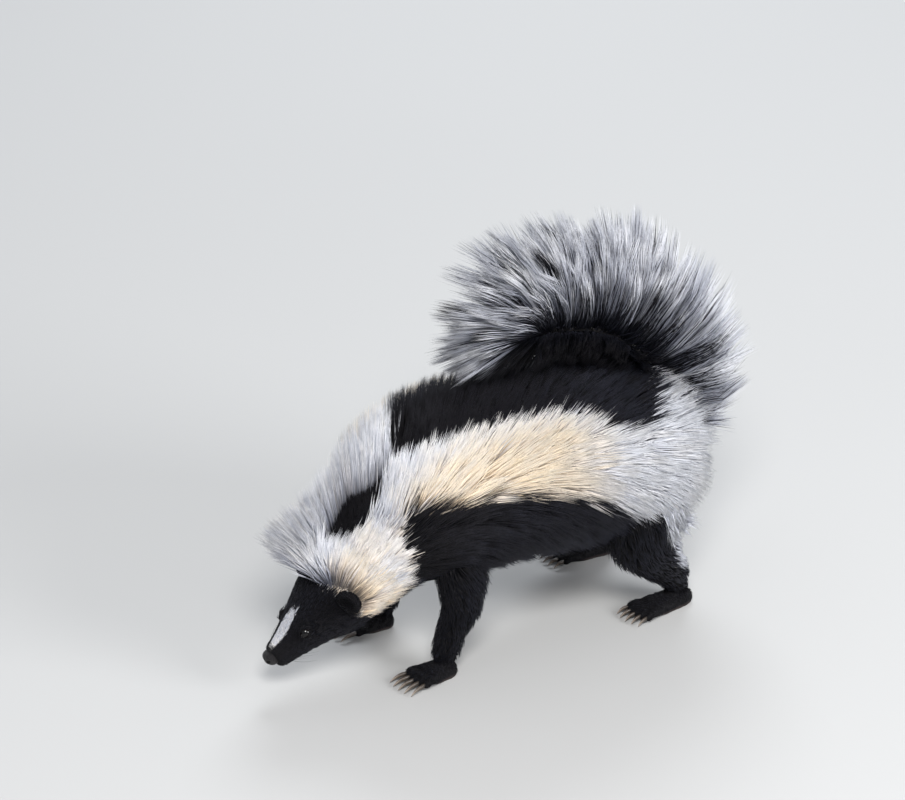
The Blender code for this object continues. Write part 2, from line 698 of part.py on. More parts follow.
def foot_and_leg(name, stations, spec, side, look):
    """One leg, parted from its paw above the ankle."""
    leg = Tube(stations if side < 0 else mirrored(stations), round_start=LEG_ROUND)
    low, high = np.array([-1.0, -1.0, -1.0]), np.array([1.0, 1.0, 0.0])
    upper = object_from("leg_" + name, *leg.loft(leg_places(leg), LEG_SIDES))
    below = box("below", low, high + [0, 0, ANKLE_TOP + GAP / 2])
    combine(upper, [below], "DIFFERENCE")
    paw = object_from("paw_" + name, *leg.loft(leg_places(leg), LEG_SIDES))
    combine(paw, paw_pieces(spec, side), "UNION")
    ground = box("ground", low, high)
    above = box("above", [-1, -1, ANKLE_TOP - GAP / 2], [1, 1, 1])
    combine(paw, [ground, above], "DIFFERENCE")
    for part in (upper, paw):
        finished(keep_largest(part), look)
    return leg


def leg_socket(leg):
    """The leg, grown by the gap, to cut out of the trunk."""
    grown = leg.loft(leg_places(leg), LEG_SIDES, lambda s, angle: GAP + 0.0 * s)
    return object_from("socket", *grown)


def eye_frame(side):
    """The eye's centre, and its axes along the head, round it and out of it."""
    angle = -side * EYE_ANGLE
    at = np.array(EYE_AT)
    outward = BODY_TUBE.normal(at, angle)
    lengthwise = unit(BODY_TUBE.frame(at)[0] - outward * (BODY_TUBE.frame(at)[0] @ outward))
    centre = BODY_TUBE.point(at, angle, EYE_OUT)
    return centre, (lengthwise, np.cross(outward, lengthwise), outward)


def ear_frame(side):
    """The ear's centre, and its axes across the ear, through its cup and towards its tip."""
    angle = -side * EAR_ANGLE
    at = np.array(EAR_AT)
    outward = BODY_TUBE.normal(at, angle)
    upright = unit(outward + np.array([0.25, 0, 0.55]))
    front = np.array([-0.80, side * 0.55, -0.1])
    front = unit(front - upright * (front @ upright))
    centre = BODY_TUBE.point(at, angle, EAR_OUT)
    return centre, (np.cross(front, upright), front, upright)


def ear(name, side, look):
    centre, axes = ear_frame(side)
    radii = np.array(EAR_RADII)
    made = ellipsoid(name, centre, axes, radii, 10, 7)
    cup_centre = centre + axes[1] * EAR_CUP_OFFSET + axes[2] * 1.2 * MM
    cup = ellipsoid("cup", cup_centre, axes, radii * EAR_CUP_SHARE, 10, 6)
    combine(made, [cup], "DIFFERENCE")
    return finished(keep_largest(made), look)


def head_cutters():
    """What is cut out of the head: the eye and ear sockets, the line of the mouth and the nose pad's seat."""
    cutters = []
    for side in (-1, 1):
        centre, axes = eye_frame(side)
        cutters.append(ellipsoid("eye_socket", centre, axes, (EYE_RADIUS + GAP,) * 3, 10, 6))
        centre, axes = ear_frame(side)
        cutters.append(ellipsoid("ear_socket", centre, axes, np.array(EAR_RADII) + GAP, 10, 7))
        cutters.append(mouth_bar("mouth", side, MOUTH_RADIUS, 0.9 * MM))
    centre, axes = nose_frame()
    cutters.append(ellipsoid("nose_seat", centre, axes, np.array(NOSE_RADII) + GAP, 12, 7))
    return cutters


def mouth_bar(name, side, radius, height):
    places, angles = np.array(MOUTH, float).T
    s = np.linspace(places[0], places[-1], 6)
    turn = np.interp(s, places, angles)
    path = BODY_TUBE.point(s * MM, -side * turn, np.full(len(s), height))
    return sweep(name, path, np.full(len(s), radius), sides=5)


def nose_frame():
    at = np.array(0.0)
    tangent, left, back = BODY_TUBE.frame(at)
    return BODY_TUBE.centre(at) + back * NOSE_UP, (-tangent, left, back)


def nose_pad(look):
    centre, axes = nose_frame()
    made = ellipsoid("nose_pad", centre, axes, NOSE_RADII, 12, 7)
    nostrils = []
    for side in (-1, 1):
        at = centre + axes[0] * 4.3 * MM + axes[1] * side * 3.1 * MM - axes[2] * 0.2 * MM
        nostrils.append(ellipsoid("nostril", at, axes, np.array([2.4, 1.0, 0.75]) * NOSTRIL_RADIUS, 8, 5))
    combine(made, nostrils, "DIFFERENCE")
    return finished(keep_largest(made), look)


def head(look):
    places = [0, 0.8, 3, 8, 15, 23, 32, 42, 52, 62, 73, 84, 104]
    made = object_from("head", *BODY_TUBE.loft(np.array(places) * MM, BODY_SIDES, body_core))
    pieces = body_locks("head", CREST_START, NECK_START)
    for side in (-1, 1):
        centre, axes = eye_frame(side)
        pieces.append(torus("lid", centre + axes[2] * LID_HEIGHT, axes, LID_RADII, LID_THICKNESS))
        pieces.append(mouth_bar("lips", side, LIP_RADIUS, LIP_HEIGHT))
    combine(made, pieces, "UNION")
    combine(made, head_cutters() + [parting(NECK_START)], "DIFFERENCE")
    return finished(keep_largest(made), look)


def neck(look, legs):
    places = np.linspace(NECK_START - 8 * MM, TRUNK_START + SEAM_OVERLAP, 6)
    made = object_from("neck", *BODY_TUBE.loft(places, BODY_SIDES, body_core))
    combine(made, body_locks("neck", NECK_START, TRUNK_START), "UNION")
    cutters = [leg_socket(leg) for leg in legs]
    combine(made, cutters + [parting(NECK_START), parting(TRUNK_START)], "DIFFERENCE")
    return finished(keep_largest(made), look)


def torso(look, legs):
    end = BODY_TUBE.length
    places = np.concatenate(
        [np.linspace(TRUNK_START - 8 * MM, end - RUMP_ROUND, 8), end - RUMP_ROUND * np.array([0.6, 0.3, 0.1, 0])]
    )
    made = object_from("torso", *BODY_TUBE.loft(places, BODY_SIDES, body_core))
    combine(made, body_locks("torso", TRUNK_START, end), "UNION")
    cutters = [leg_socket(leg) for leg in legs]
    for start, end in TAIL_LENGTHS.values():
        cutters.append(object_from("tail_seat", *plume_loft(start, end, PLUME_ROOM, GAP)))
    combine(made, cutters + [parting(TRUNK_START)], "DIFFERENCE")
    return finished(keep_largest(made), look)


def tail_length(name, start, end, look):
    """One length of the tail, between two seams."""
    made = object_from(name, *plume_loft(start + GAP, end - GAP, PLUME_CORE))
    combine(made, plume_locks(start, end), "UNION")
    combine(made, [object_from("room", *plume_loft(start + GAP, end - GAP, PLUME_ROOM))], "INTERSECT")
    return finished(keep_largest(made), look)


def eye(name, side, look):
    centre, axes = eye_frame(side)
    return finished(ellipsoid(name, centre, axes, (EYE_RADIUS,) * 3, 10, 6), look)


def centre_model():
    """Hangs every node on one empty, which centres the model on the origin seen from above."""
    nodes = [made for made in bpy.data.objects if made.type == "MESH"]
    points = np.concatenate([np.array([vertex.co[:] for vertex in made.data.vertices]) for made in nodes])
    middle = (points.min(axis=0) + points.max(axis=0)) / 2
    holder = bpy.data.objects.new("skunk", None)
    bpy.context.scene.collection.objects.link(holder)
    holder.location = (-middle[0], -middle[1], 0)
    for made in nodes:
        made.parent = holder


def build():
    black = material("black_coat", BLACK, 0.75)
    white = material("white_coat", WHITE, 0.75)
    wet = material("wet_black", WET_BLACK, 0.12)
    skin = material("skin", SKIN, 0.5)
    legs = {}
    for name, stations, spec in (("front", FORELEG, FOREPAW), ("hind", HINDLEG, HINDPAW)):
        for side_name, side in (("left", -1), ("right", 1)):
            full_name = name + "_" + side_name
            legs[full_name] = foot_and_leg(full_name, stations, spec, side, black)
    head(black)
    neck(white, [legs["front_left"], legs["front_right"]])
    torso(black, legs.values())
    for name, (start, end) in TAIL_LENGTHS.items():
        tail_length(name, start, end, white)
    nose_pad(skin)
    for side_name, side in (("left", -1), ("right", 1)):
        eye("eye_" + side_name, side, wet)
        ear("ear_" + side_name, side, black)
    centre_model()


BODY_TUBE = Tube(BODY, NOSE_ROUND, RUMP_ROUND)
TAIL_TUBE = Tube(TAIL, 0.0, TAIL_ROUND)
for old in list(bpy.data.objects):
    bpy.data.objects.remove(old, do_unlink=True)
build()
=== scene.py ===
"""A striped skunk, life size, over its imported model: one skin, a coat of mesh tufts, and fine features.

The animal faces -X, and its left side faces -Y. Tables hold millimetres, degrees and shares of 1, and
places along the body run from the nose. Angle 0 is the back and +90 the left side. A side is -1 for the
left and 1 for the right.
"""

import math
from collections import namedtuple

import bmesh
import bpy
import numpy as np
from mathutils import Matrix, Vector
from mathutils.bvhtree import BVHTree
from mathutils.kdtree import KDTree


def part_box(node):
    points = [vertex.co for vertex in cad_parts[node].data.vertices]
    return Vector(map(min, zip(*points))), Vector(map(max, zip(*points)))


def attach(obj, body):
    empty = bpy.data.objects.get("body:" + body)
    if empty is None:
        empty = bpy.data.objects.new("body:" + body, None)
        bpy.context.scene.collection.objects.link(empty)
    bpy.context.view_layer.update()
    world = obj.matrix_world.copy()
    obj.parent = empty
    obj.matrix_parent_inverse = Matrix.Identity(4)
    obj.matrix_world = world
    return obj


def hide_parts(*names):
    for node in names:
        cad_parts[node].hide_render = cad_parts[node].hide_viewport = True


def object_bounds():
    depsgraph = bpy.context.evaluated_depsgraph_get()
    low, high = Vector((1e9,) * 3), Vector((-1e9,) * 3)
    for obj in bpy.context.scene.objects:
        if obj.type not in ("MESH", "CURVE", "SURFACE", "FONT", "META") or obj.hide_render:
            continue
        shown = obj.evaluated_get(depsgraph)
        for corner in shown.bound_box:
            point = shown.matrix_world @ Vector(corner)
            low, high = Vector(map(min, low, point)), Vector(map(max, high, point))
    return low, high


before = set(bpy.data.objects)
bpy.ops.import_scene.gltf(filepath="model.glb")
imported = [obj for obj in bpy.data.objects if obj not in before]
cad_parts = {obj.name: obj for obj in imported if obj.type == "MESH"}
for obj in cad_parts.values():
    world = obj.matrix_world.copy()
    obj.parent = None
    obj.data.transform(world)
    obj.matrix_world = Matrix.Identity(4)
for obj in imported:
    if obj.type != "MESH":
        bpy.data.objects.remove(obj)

MM = 0.001
SEED = 7
CAD_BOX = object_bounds()
SIDES = (-1, 1)
UP = np.array([0.0, 0.0, 1.0])
FINEST = 1e-9

# The camera: its angle, distance and aim, in the photo's frame.
CAMERA_AZIMUTH, CAMERA_ELEVATION = math.radians(-33), math.radians(26)
CAMERA_DISTANCE = 2.4
CAMERA_LENS, CAMERA_SENSOR = 141.3, 36.0
CAMERA_AIM = (0, 0, 110)
CAMERA_ACROSS, CAMERA_RISE = -32.6, 52.8

# Each row of a tube: x, y and z of its middle, half its width, its height up and down, and its coat's depth.
BODY = [
    (-181, 0, 27, 8.5, 8, 8, 1.0), (-174, 0, 31, 10.5, 9.5, 9, 1.5), (-165, 0, 37, 14, 12.5, 11, 2.0),
    (-154, 0, 45, 20, 16, 14.5, 2.5), (-142, 0, 53, 27, 20, 18.5, 3.5), (-129, 0, 62, 30, 24, 21, 5.0),
    (-116, 0, 72, 29, 26, 23, 10), (-102, 0, 85, 29, 29, 28, 16), (-84, 0, 100, 34, 34, 36, 19),
    (-62, 0, 112, 41, 43, 46, 20), (-30, 0, 120, 47, 46, 53, 20), (10, 0, 121, 52, 48, 55, 20),
    (50, 0, 118, 55, 49, 55, 20), (85, 0, 113, 55, 48, 55, 20), (112, 0, 109, 50, 46, 52, 28),
    (136, 0, 106, 44, 42, 48, 38),
]
TAIL = [
    (112, 0, 128, 17, 15, 15, 66), (119, 0, 150, 13, 12, 12, 72), (109, 0, 177, 10.5, 10, 10, 74),
    (84, 0, 199, 9, 9, 9, 76), (50, 0, 211, 8, 8, 8, 72), (26, 0, 213, 7, 7, 7, 62),
    (8, 0, 210, 5.5, 5.5, 5.5, 46),
]
FORELEG = [
    (-58, -26, 92, 16, 20, 20, 0), (-55, -34, 70, 15, 18, 18, 0), (-58, -39, 48, 12.5, 14, 14, 0),
    (-65, -39, 30, 9.5, 10.5, 10.5, 0), (-70, -39, 14, 8.5, 9, 9, 0), (-71, -39, 6, 7, 7, 7, 0),
]
HINDLEG = [
    (92, -32, 104, 22, 32, 32, 0), (86, -42, 82, 22, 35, 31, 0), (84, -48, 60, 17, 32, 24, 0),
    (98, -48, 40, 13, 20, 16, 0), (113, -46, 22, 9.5, 12, 11, 0), (117, -45, 12, 8, 9, 9, 0),
    (117, -45, 6, 6, 7, 7, 0),
]
NOSE_ROUND, MUZZLE_ROUND, RUMP_ROUND = 5 * MM, 2.4 * MM, 44 * MM
TAIL_ROUND, LEG_ROUND = 8 * MM, 14 * MM
TUBE_STEP, TUBE_TURN = 0.5 * MM, 1.0

# The coat's depth: the crest along the nape and back, how far it reaches down, and the belly's thin coat.
BELLY_COAT = 14 * MM
BELLY_ANGLES = (100, 165)
UNDER_TAIL = (285 * MM, 335 * MM)
CREST = [(42, 0), (50, 36), (60, 48), (84, 44), (105, 35), (130, 32), (160, 31), (200, 24), (240, 20)]
CREST_SIDES = (60, 115)
CREST_BEHIND_EARS = 20 * MM
CREST_EAR_ANGLES = (25, 55)
MANE_HEIGHTS = (20 * MM, 38 * MM)

# How the hair lies and stands: (place, degrees above level that the mane points, from forward), how far it
# spreads sideways, and between which angles round the body it goes from standing to lying.
GRAVITY, LIFT, LIE_RISE = 0.8, 0.5, 0.5
GRAVITY_ANGLES, LIFT_ANGLES = (60, 120), (40, 75)
MANE_LEAN = [(52, 34), (58, 38), (64, 48), (72, 61), (82, 74), (95, 84), (110, 89), (130, 93), (160, 100),
             (200, 114), (250, 130)]
MANE_SPREAD = 0.32
STAND_PLACES = (46 * MM, 92 * MM, 104 * MM, 120 * MM, 240 * MM)
STAND_LEFT = [(28, 46), (28, 46), (32, 58), (44, 84), (36, 76)]
STAND_RIGHT = [(46, 72), (50, 78), (50, 82), (48, 84), (36, 76)]
STAND_END = (215 * MM, 290 * MM)
FLAT_NAPE = [(56, 0), (65, 1), (102, 1), (111, 0)]
FLAT_FROM, FLAT_TO = (-10, 6), (70, 95)
LONGEST_HAIR = (46 * MM, 78 * MM)
RAY_START, RAY_REACH = 0.8 * MM, 110 * MM
SEEN = 0.78

# The black hollow at the nape, and the shorter coat of the cheeks.
# The hollow's black is partly the black coat and partly painted shade, the dark gap between the crown's
# standing hair and the neck's stripe.
HOLLOW, HOLLOW_START, HOLLOW_END, HOLLOW_ANGLES = 0.72, (64 * MM, 70 * MM), (125 * MM, 150 * MM), (40, 60)
CHEEK_SHORTER, CHEEK_ANGLES, CHEEK_END = 0.42, (50, 75), (88 * MM, 108 * MM)

# The plume: (angle of the root, angle that the hair points), its length's share, and its lean along the tail.
PLUME_INNER, INNER_HAIR, PLUME_TIP = 12 * MM, 21 * MM, 52 * MM
PLUME_SPREAD = 1.1
FAN = [(0, 0), (45, 48), (70, 76), (83, 92), (88, 132), (94, 144), (120, 160), (180, 180)]
PLUME_SHARES = [(0, 1), (50, 1), (66, 0.85), (82, 0.6), (90, 1), (180, 1)]
PLUME_LEAN = [(0, -0.25), (25, 0.1), (60, 0.35), (130, 0.5), (160, 0.8)]
PLUME_KNOTS = (-0.02, 0.33, 0.7, 1.0)
BLACK_CLUMPS, BLACK_TUFTS = 0.03, 0.16

# The feet: a paw's middle, size, toes and claws, and (share of length, of width, of height) of its outline.
Paw = namedtuple("Paw", "x y length width height toe claw claw_radius yaw")
FOREPAW = Paw(-76 * MM, -40 * MM, 25 * MM, 22 * MM, 13 * MM, 10 * MM, 12 * MM, 1.7 * MM, 6)
HINDPAW = Paw(109 * MM, -46 * MM, 40 * MM, 22 * MM, 13 * MM, 11 * MM, 8 * MM, 1.5 * MM, 6)
PAW_OUTLINE = [(-0.5, 0.30, 0.75), (-0.3, 0.42, 1.0), (0.05, 0.46, 0.95), (0.32, 0.5, 0.72), (0.5, 0.4, 0.45)]
TOE_LENGTHS = (0.78, 0.95, 1.0, 0.97, 0.84)
TOE_RADIUS, TOE_BACK = 3.2 * MM, 6 * MM
TOE_TAPER = (1, 1, 0.95, 0.9, 0.68)
CLAW_CURVE = [(-0.12, 0.1), (0.15, 0.15), (0.4, 0), (0.65, -0.6), (0.85, -1.6), (1, -2.7)]
CLAW_TAPER = (0.95, 1, 0.88, 0.66, 0.4, 0.12)
CLAW_RINGS, CLAW_SIDES = 16, 14
ANKLE_TOP = 20 * MM

# The head's features. The eye's opening is half its length and half its height.
EYE_RADIUS, EYE_AT, EYE_ANGLE, EYE_OUT = 4.7 * MM, 26 * MM, 57, -2.2 * MM
EYE_OPENING = (3.5 * MM, 2.7 * MM)
LID_RISE, LID_AT, LID_WIDTH, LID_CREASE = 0.5 * MM, 1.22, 0.34, 0.45 * MM
EAR_AT, EAR_ANGLE, EAR_OUT = 60 * MM, 62, 7 * MM
EAR_RADII = (9.0 * MM, 5.0 * MM, 10.8 * MM)
EAR_UPRIGHT, EAR_FRONT = (0.25, 0, 0.55), (-0.80, 0.55, -0.1)
EAR_CUP_OFFSET, EAR_CUP_SHARE = 4.2 * MM, 0.76
MOUTH = [(2.5, 158), (8, 140), (17, 125), (29, 113)]
MOUTH_DEPTH, MOUTH_WIDTH = 1.2 * MM, 0.7 * MM
LIP_RISE, LIP_AT, LIP_WIDTH = 0.6 * MM, 1.7 * MM, 2.0 * MM
NOSE_RADII, NOSE_UP = (5.5 * MM, 6.6 * MM, 5.2 * MM), 1.5 * MM
NOSTRIL_AT, NOSTRIL_TURN, NOSTRIL_SIZE, NOSTRIL_DEPTH = (0.46, 0.12), (0.92, 0.38), (0.26, 0.16), 0.42

# The skin's mesh, and how deep it lies under the coat on the legs, from the top to the ankle.
SKIN_VOXEL = 1.25 * MM
LEG_COAT = (5 * MM, 1.6 * MM)

# Numbers of the skin's parts: the body, the tail, four legs, four paws and two ears.
ON_BODY, ON_TAIL, ON_LEGS, ON_PAWS, ON_EARS = 0, 1, 2, 6, 10

# Where the white lies: (angle, place) of the cap's front edge, and (place, angle) of the black back's edges
# on its left and right and of the stripes' lower edge. The head's marks go by the hair's roots, and the
# back's by its tips.
CAP_FRONT = [(0, 56), (30, 58), (45, 60), (75, 60), (90, 58), (105, 61), (120, 66), (134, 70), (150, 84),
             (180, 120)]
# On the left of the nape the black reaches further down than on the right: partly the black coat and partly
# painted shade in the hollow between the crown's standing hair and the neck's stripe.
BACK_LEFT = [(66, -12), (70, 4), (76, 16), (82, 23), (92, 29), (100, 30), (112, 31), (120, 32), (126, 27),
             (132, 19), (138, 16), (143, 20), (150, 26), (162, 31), (180, 34), (240, 36), (266, 50),
             (281, 58), (298, 52), (312, 20), (322, -8)]
BACK_RIGHT = [(66, 0), (70, -6), (80, -13), (92, -20), (100, -24), (112, -24), (120, -12), (128, 1), (134, 3),
              (140, 2), (147, -4), (151, -12), (156, -28), (164, -42), (240, -45), (266, -52), (281, -58),
              (298, -52), (312, -20), (322, 8)]
STRIPE_LOW = [(56, 106), (64, 122), (70, 128), (75, 118), (80, 106), (86, 92), (92, 82), (98, 72), (104, 64),
              (112, 57), (122, 55), (130, 54), (136, 57), (151, 64), (160, 68), (186, 75), (203, 81),
              (222, 87), (241, 93), (263, 101), (278, 110), (294, 122), (319, 150), (345, 165)]
MARKED_BY_TIP = (100 * MM, 128 * MM)
BLAZE, BLAZE_HALF = (4 * MM, 32 * MM), 4.8 * MM
TAIL_WHITE = (89, 97)
THIGH_EDGE = [(24, 113), (45, 101), (60, 96), (80, 91), (100, 84)]

# The body's coats: name, first and last place, tufts, node and slot. The tail's: node, first and last place,
# and tufts. None stands for a place just short of the tube's end.
BODY_COATS = [
    ("coat_crown", 46, 84, 13000, "neck", "white_coat"),
    ("coat_neck", 84, 122, 13500, "neck", "white_coat"),
    ("coat_shoulders", 122, 168, 13500, "torso", "black_coat"),
    ("coat_ribs", 168, 216, 13000, "torso", "black_coat"),
    ("coat_flanks", 216, 268, 13000, "torso", "black_coat"),
    ("coat_rump", 268, None, 14500, "torso", "black_coat"),
]
TAIL_COATS = [("tail_base", 8, 66, 7000), ("tail_middle", 66, 122, 7000), ("tail_tip", 122, None, 7600)]
FACE_TUFTS, EAR_TUFTS, LEG_TUFTS, PAW_TUFTS = 17000, 1100, 2700, 1700
FACE_LENGTHS = [(0, 2.0), (8, 3.0), (20, 4.3), (34, 5.8), (46, 7.5), (60, 9.0)]
FACE_DENSITY = [(0, 3.4), (10, 3.0), (22, 2.0), (36, 1.2), (50, 1.0)]
FACE_END = 66 * MM
BODY_CLUMP, PLUME_CLUMP, SHORT_CLUMP = 20, 34, 12
LEG_COAT_TOP = 100 * MM

# From root to tip, how far a tuft is drawn to its clump's leader and its share of its width, and its
# thickness as a share of its width.
BODY_PULL, BODY_TAPER, BODY_FLAT = (0, 0.24, 0.68), (0.8, 1.0, 0.1), 0.45
PLUME_PULL, PLUME_TAPER, PLUME_FLAT = (0, 0.3, 0.66, 0.82), (0.8, 1.0, 0.7, 0.1), 0.5
SHORT_PULL, SHORT_TAPER, SHORT_FLAT = (0, 0.2, 0.5), (0.9, 0.9, 0.1), 0.4

# How deep the tufts are rooted, how fat the short ones may be for their length, and how tufts are spread
# over a piece and its map.
ROOT_DEPTH, SHORT_DEPTH = 0.6 * MM, 0.35 * MM
FATTEST = 0.13
SPREAD_GRID = (60, 72)
EVEN_STEPS = (0.7548776662466927, 0.5698402909980532)
PATCH = 0.003
STREAK_SCALE = (5200, 170, 1)
BUMP_DISTANCE = 0.0004

Skin = namedtuple("Skin", "points normals triangles part s angle")
Tufts = namedtuple("Tufts", "paths across widths flat place mark shade warm")


def unit(vectors):
    vectors = np.asarray(vectors, float)
    return vectors / np.maximum(np.linalg.norm(vectors, axis=-1, keepdims=True), FINEST)


def dot(a, b):
    return (a * b).sum(axis=-1, keepdims=True)


def ease(value, start, end):
    """0 up to the start, 1 from the end on, and smooth between them."""
    share = np.clip((value - start) / (end - start), 0, 1)
    return share**2 * (3 - 2 * share)


def hump(value, middle, width):
    return np.exp(-(((value - middle) / width) ** 2))


def sharpened(mark, by):
    return np.clip((mark - 0.5) * by + 0.5, 0, 1)


def turned(angle):
    """The angle from -180 to 180, above 0 on the left."""
    return (np.asarray(angle, float) + 180) % 360 - 180


def read(rows, at, scale=1):
    """The value at `at` between rows of (place, value), with the places times the scale."""
    places, values = np.array(rows, float).T
    return np.interp(at, places * scale, values)


def along(knots, values, at):
    """The values at the places `at`, on a smooth curve that passes through `values` at `knots`."""
    at = np.clip(np.asarray(at, float), knots[0], knots[-1])
    slopes = np.gradient(values, knots, axis=0)
    left = np.clip(np.searchsorted(knots, at, side="right") - 1, 0, len(knots) - 2)
    span = (knots[left + 1] - knots[left])[..., None]
    u = (at - knots[left])[..., None] / span
    return (
        (1 + 2 * u) * (1 - u) ** 2 * values[left]
        + u * (1 - u) ** 2 * span * slopes[left]
        + u**2 * (3 - 2 * u) * values[left + 1]
        + u**2 * (u - 1) * span * slopes[left + 1]
    )


def ring_faces(rings, sides, inward=False):
    """The four-sided faces between rings of points."""
    faces = []
    for a in range((rings - 1) * sides):
        b = a - a % sides + (a + 1) % sides
        faces.append((a, a + sides, b + sides, b) if inward else (a, b, b + sides, a + sides))
    return faces


def cap_faces(start, sides, tip):
    return [(start + k, start + (k + 1) % sides, tip) for k in range(sides)]


class Tube:
    """A body round a centre line. s is the distance along it, and angle 0 is its back, +90 its left side."""

    left = np.array([0.0, -1.0, 0.0])

    def __init__(self, rows, round_start=0.0, round_end=0.0, shift=(0, 0, 0)):
        rows = np.array(rows, float) * MM
        self.centres, self.sizes = rows[:, :3] + shift, rows[:, 3:]
        steps = np.linalg.norm(np.diff(self.centres, axis=0), axis=1)
        self.knots = np.concatenate([[0.0], np.cumsum(steps)])
        self.length = self.knots[-1]
        self.round_start, self.round_end = round_start, round_end

    def centre(self, s):
        return along(self.knots, self.centres, s)

    def depth(self, s):
        return along(self.knots, self.sizes, s)[..., 3]

    def frame(self, s):
        """The unit vectors along the tube, to its left and out of its back."""
        s = np.clip(s, TUBE_STEP, self.length - TUBE_STEP)
        tangent = unit(self.centre(s + TUBE_STEP) - self.centre(s - TUBE_STEP))
        left = unit(self.left - tangent * (tangent @ self.left)[..., None])
        return tangent, left, np.cross(left, tangent)

    def closing(self, s):
        """The share of its width that the tube has at s, where it rounds off towards its ends."""
        share = np.ones_like(s)
        for gap, reach in ((s, self.round_start), (self.length - s, self.round_end)):
            if reach:
                share = np.minimum(share, np.clip(gap / reach, 0, 1))
        return np.sqrt(1 - (1 - share) ** 2)

    def skin(self, s, angle):
        s, angle = np.broadcast_arrays(np.asarray(s, float), np.radians(angle))
        _, left, back = self.frame(s)
        width, up, down, _ = np.moveaxis(along(self.knots, self.sizes, s), -1, 0)
        round_off = self.closing(s)
        reach = np.where(np.cos(angle) > 0, up, down)
        return (
            self.centre(s)
            + left * (width * round_off * np.sin(angle))[..., None]
            + back * (reach * round_off * np.cos(angle))[..., None]
        )

    def normal(self, s, angle):
        """The unit vector out of the skin."""
        s = np.clip(s, 2 * TUBE_STEP, self.length - 2 * TUBE_STEP)
        lengthwise = self.skin(s + TUBE_STEP, angle) - self.skin(s - TUBE_STEP, angle)
        crosswise = self.skin(s, angle + TUBE_TURN) - self.skin(s, angle - TUBE_TURN)
        return unit(np.cross(crosswise, lengthwise))

    def point(self, s, angle, height=0.0):
        """The point that lies `height` above the skin."""
        return self.skin(s, angle) + self.normal(s, angle) * np.asarray(height)[..., None]

    def loft(self, places, sides, height=0.0):
        """(points, faces) of the closed body through rings at `places`. Both ends close in a point."""
        s, angle = np.meshgrid(places, np.arange(sides) * 360.0 / sides, indexing="ij")
        points = list(self.point(s, angle, np.reshape(height, (-1, 1)) * np.ones_like(s)).reshape(-1, 3))
        faces = ring_faces(len(places), sides, inward=True)
        for start in (0, (len(places) - 1) * sides):
            points.append(np.mean(points[start : start + sides], axis=0))
            cap = cap_faces(start, sides, len(points) - 1)
            faces += [(b, a, tip) for a, b, tip in cap] if start else cap
        return points, faces


def mirrored(rows):
    return [(x, -y, *rest) for x, y, *rest in rows]


def eye_frame(side):
    """The eye's centre, and its axes along the head, round it and out of it."""
    at, angle = np.array(EYE_AT), -side * EYE_ANGLE
    outward, tangent = BODY_TUBE.normal(at, angle), BODY_TUBE.frame(at)[0]
    lengthwise = unit(tangent - outward * (tangent @ outward))
    return BODY_TUBE.point(at, angle, EYE_OUT), (lengthwise, np.cross(outward, lengthwise), outward)


def ear_frame(side):
    """The ear's centre, and its axes across the ear, through its cup and towards its tip."""
    at, angle = np.array(EAR_AT), -side * EAR_ANGLE
    upright = unit(BODY_TUBE.normal(at, angle) + np.array(EAR_UPRIGHT))
    front = np.array(EAR_FRONT) * (1, side, 1)
    front = unit(front - upright * (front @ upright))
    return BODY_TUBE.point(at, angle, EAR_OUT), (np.cross(front, upright), front, upright)


def nose_frame():
    """The nose pad's centre, and its axes forward, to its left and up."""
    at = np.array(0.0)
    tangent, left, back = BODY_TUBE.frame(at)
    return BODY_TUBE.centre(at) + back * NOSE_UP, (-tangent, left, back)


def body_coat(s, angle):
    """The depth of the coat on the head, neck and trunk, with the mane along the back of the neck."""
    s, angle = np.broadcast_arrays(np.asarray(s, float), np.asarray(angle, float))
    turn = np.abs(turned(angle))
    base = BODY_TUBE.depth(s)
    under = ease(turn, *BELLY_ANGLES) * (1 - ease(s, *UNDER_TAIL))
    base = base + np.minimum(BELLY_COAT - base, 0) * under
    crest = read(np.array(CREST) * MM, s - CREST_BEHIND_EARS * ease(turn, *CREST_EAR_ANGLES))
    return base + np.maximum(crest - base, 0) * (1 - ease(turn, *CREST_SIDES))


def flat_share(s, angle):
    """How flat the hair lies on the left of the nape, where the cheek's white meets the black of the back."""
    signed = turned(angle)
    return read(FLAT_NAPE, s / MM) * ease(signed, *FLAT_FROM) * (1 - ease(signed, *FLAT_TO))


def standing_share(s, angle):
    """How far the hair stands up, from 0 where it lies to 1 on the crown and along the mane."""
    signed = turned(angle)
    shares = []
    for rows in (STAND_LEFT, STAND_RIGHT):
        first, last = (np.interp(s, STAND_PLACES, row) for row in zip(*rows))
        shares.append(1 - np.clip((np.abs(signed) - first) / (last - first), 0, 1))
    return np.where(signed > 0, *shares) * (1 - flat_share(s, angle)) * (1 - ease(s, *STAND_END))


def hair_direction(s, angle):
    """The unit vector along which the coat grows, back and down on the sides, up on the crown and mane."""
    turn = np.abs(turned(angle))
    tangent, normal = BODY_TUBE.frame(s)[0], BODY_TUBE.normal(s, angle)
    rise = LIFT * (1 - ease(turn, *LIFT_ANGLES)) - GRAVITY * ease(turn, *GRAVITY_ANGLES)
    lie = tangent + UP * rise[:, None]
    lying = unit(unit(lie - normal * dot(lie, normal)) + normal * LIE_RISE)
    lean = np.radians(read(MANE_LEAN, s, MM))
    aside = -np.sin(np.radians(angle)) * MANE_SPREAD
    standing = unit(np.stack([-np.cos(lean), aside, np.sin(lean)], -1))
    share = standing_share(s, angle)[:, None]
    return unit(lying * (1 - share) + standing * share), share[:, 0]


def tail_coat(s, angle):
    """The depth of the tail's plume, which is long on the outer side of its curve."""
    outward = ((1 - np.cos(np.radians(angle))) / 2) ** PLUME_SPREAD
    return PLUME_INNER + (TAIL_TUBE.depth(s) - PLUME_INNER) * outward


def fan_angle(angle):
    """The angle at which hair rooted at `angle` on the tail points: most of it points outward, in a fan."""
    turn = turned(angle)
    return np.sign(turn) * read(FAN, np.abs(turn))


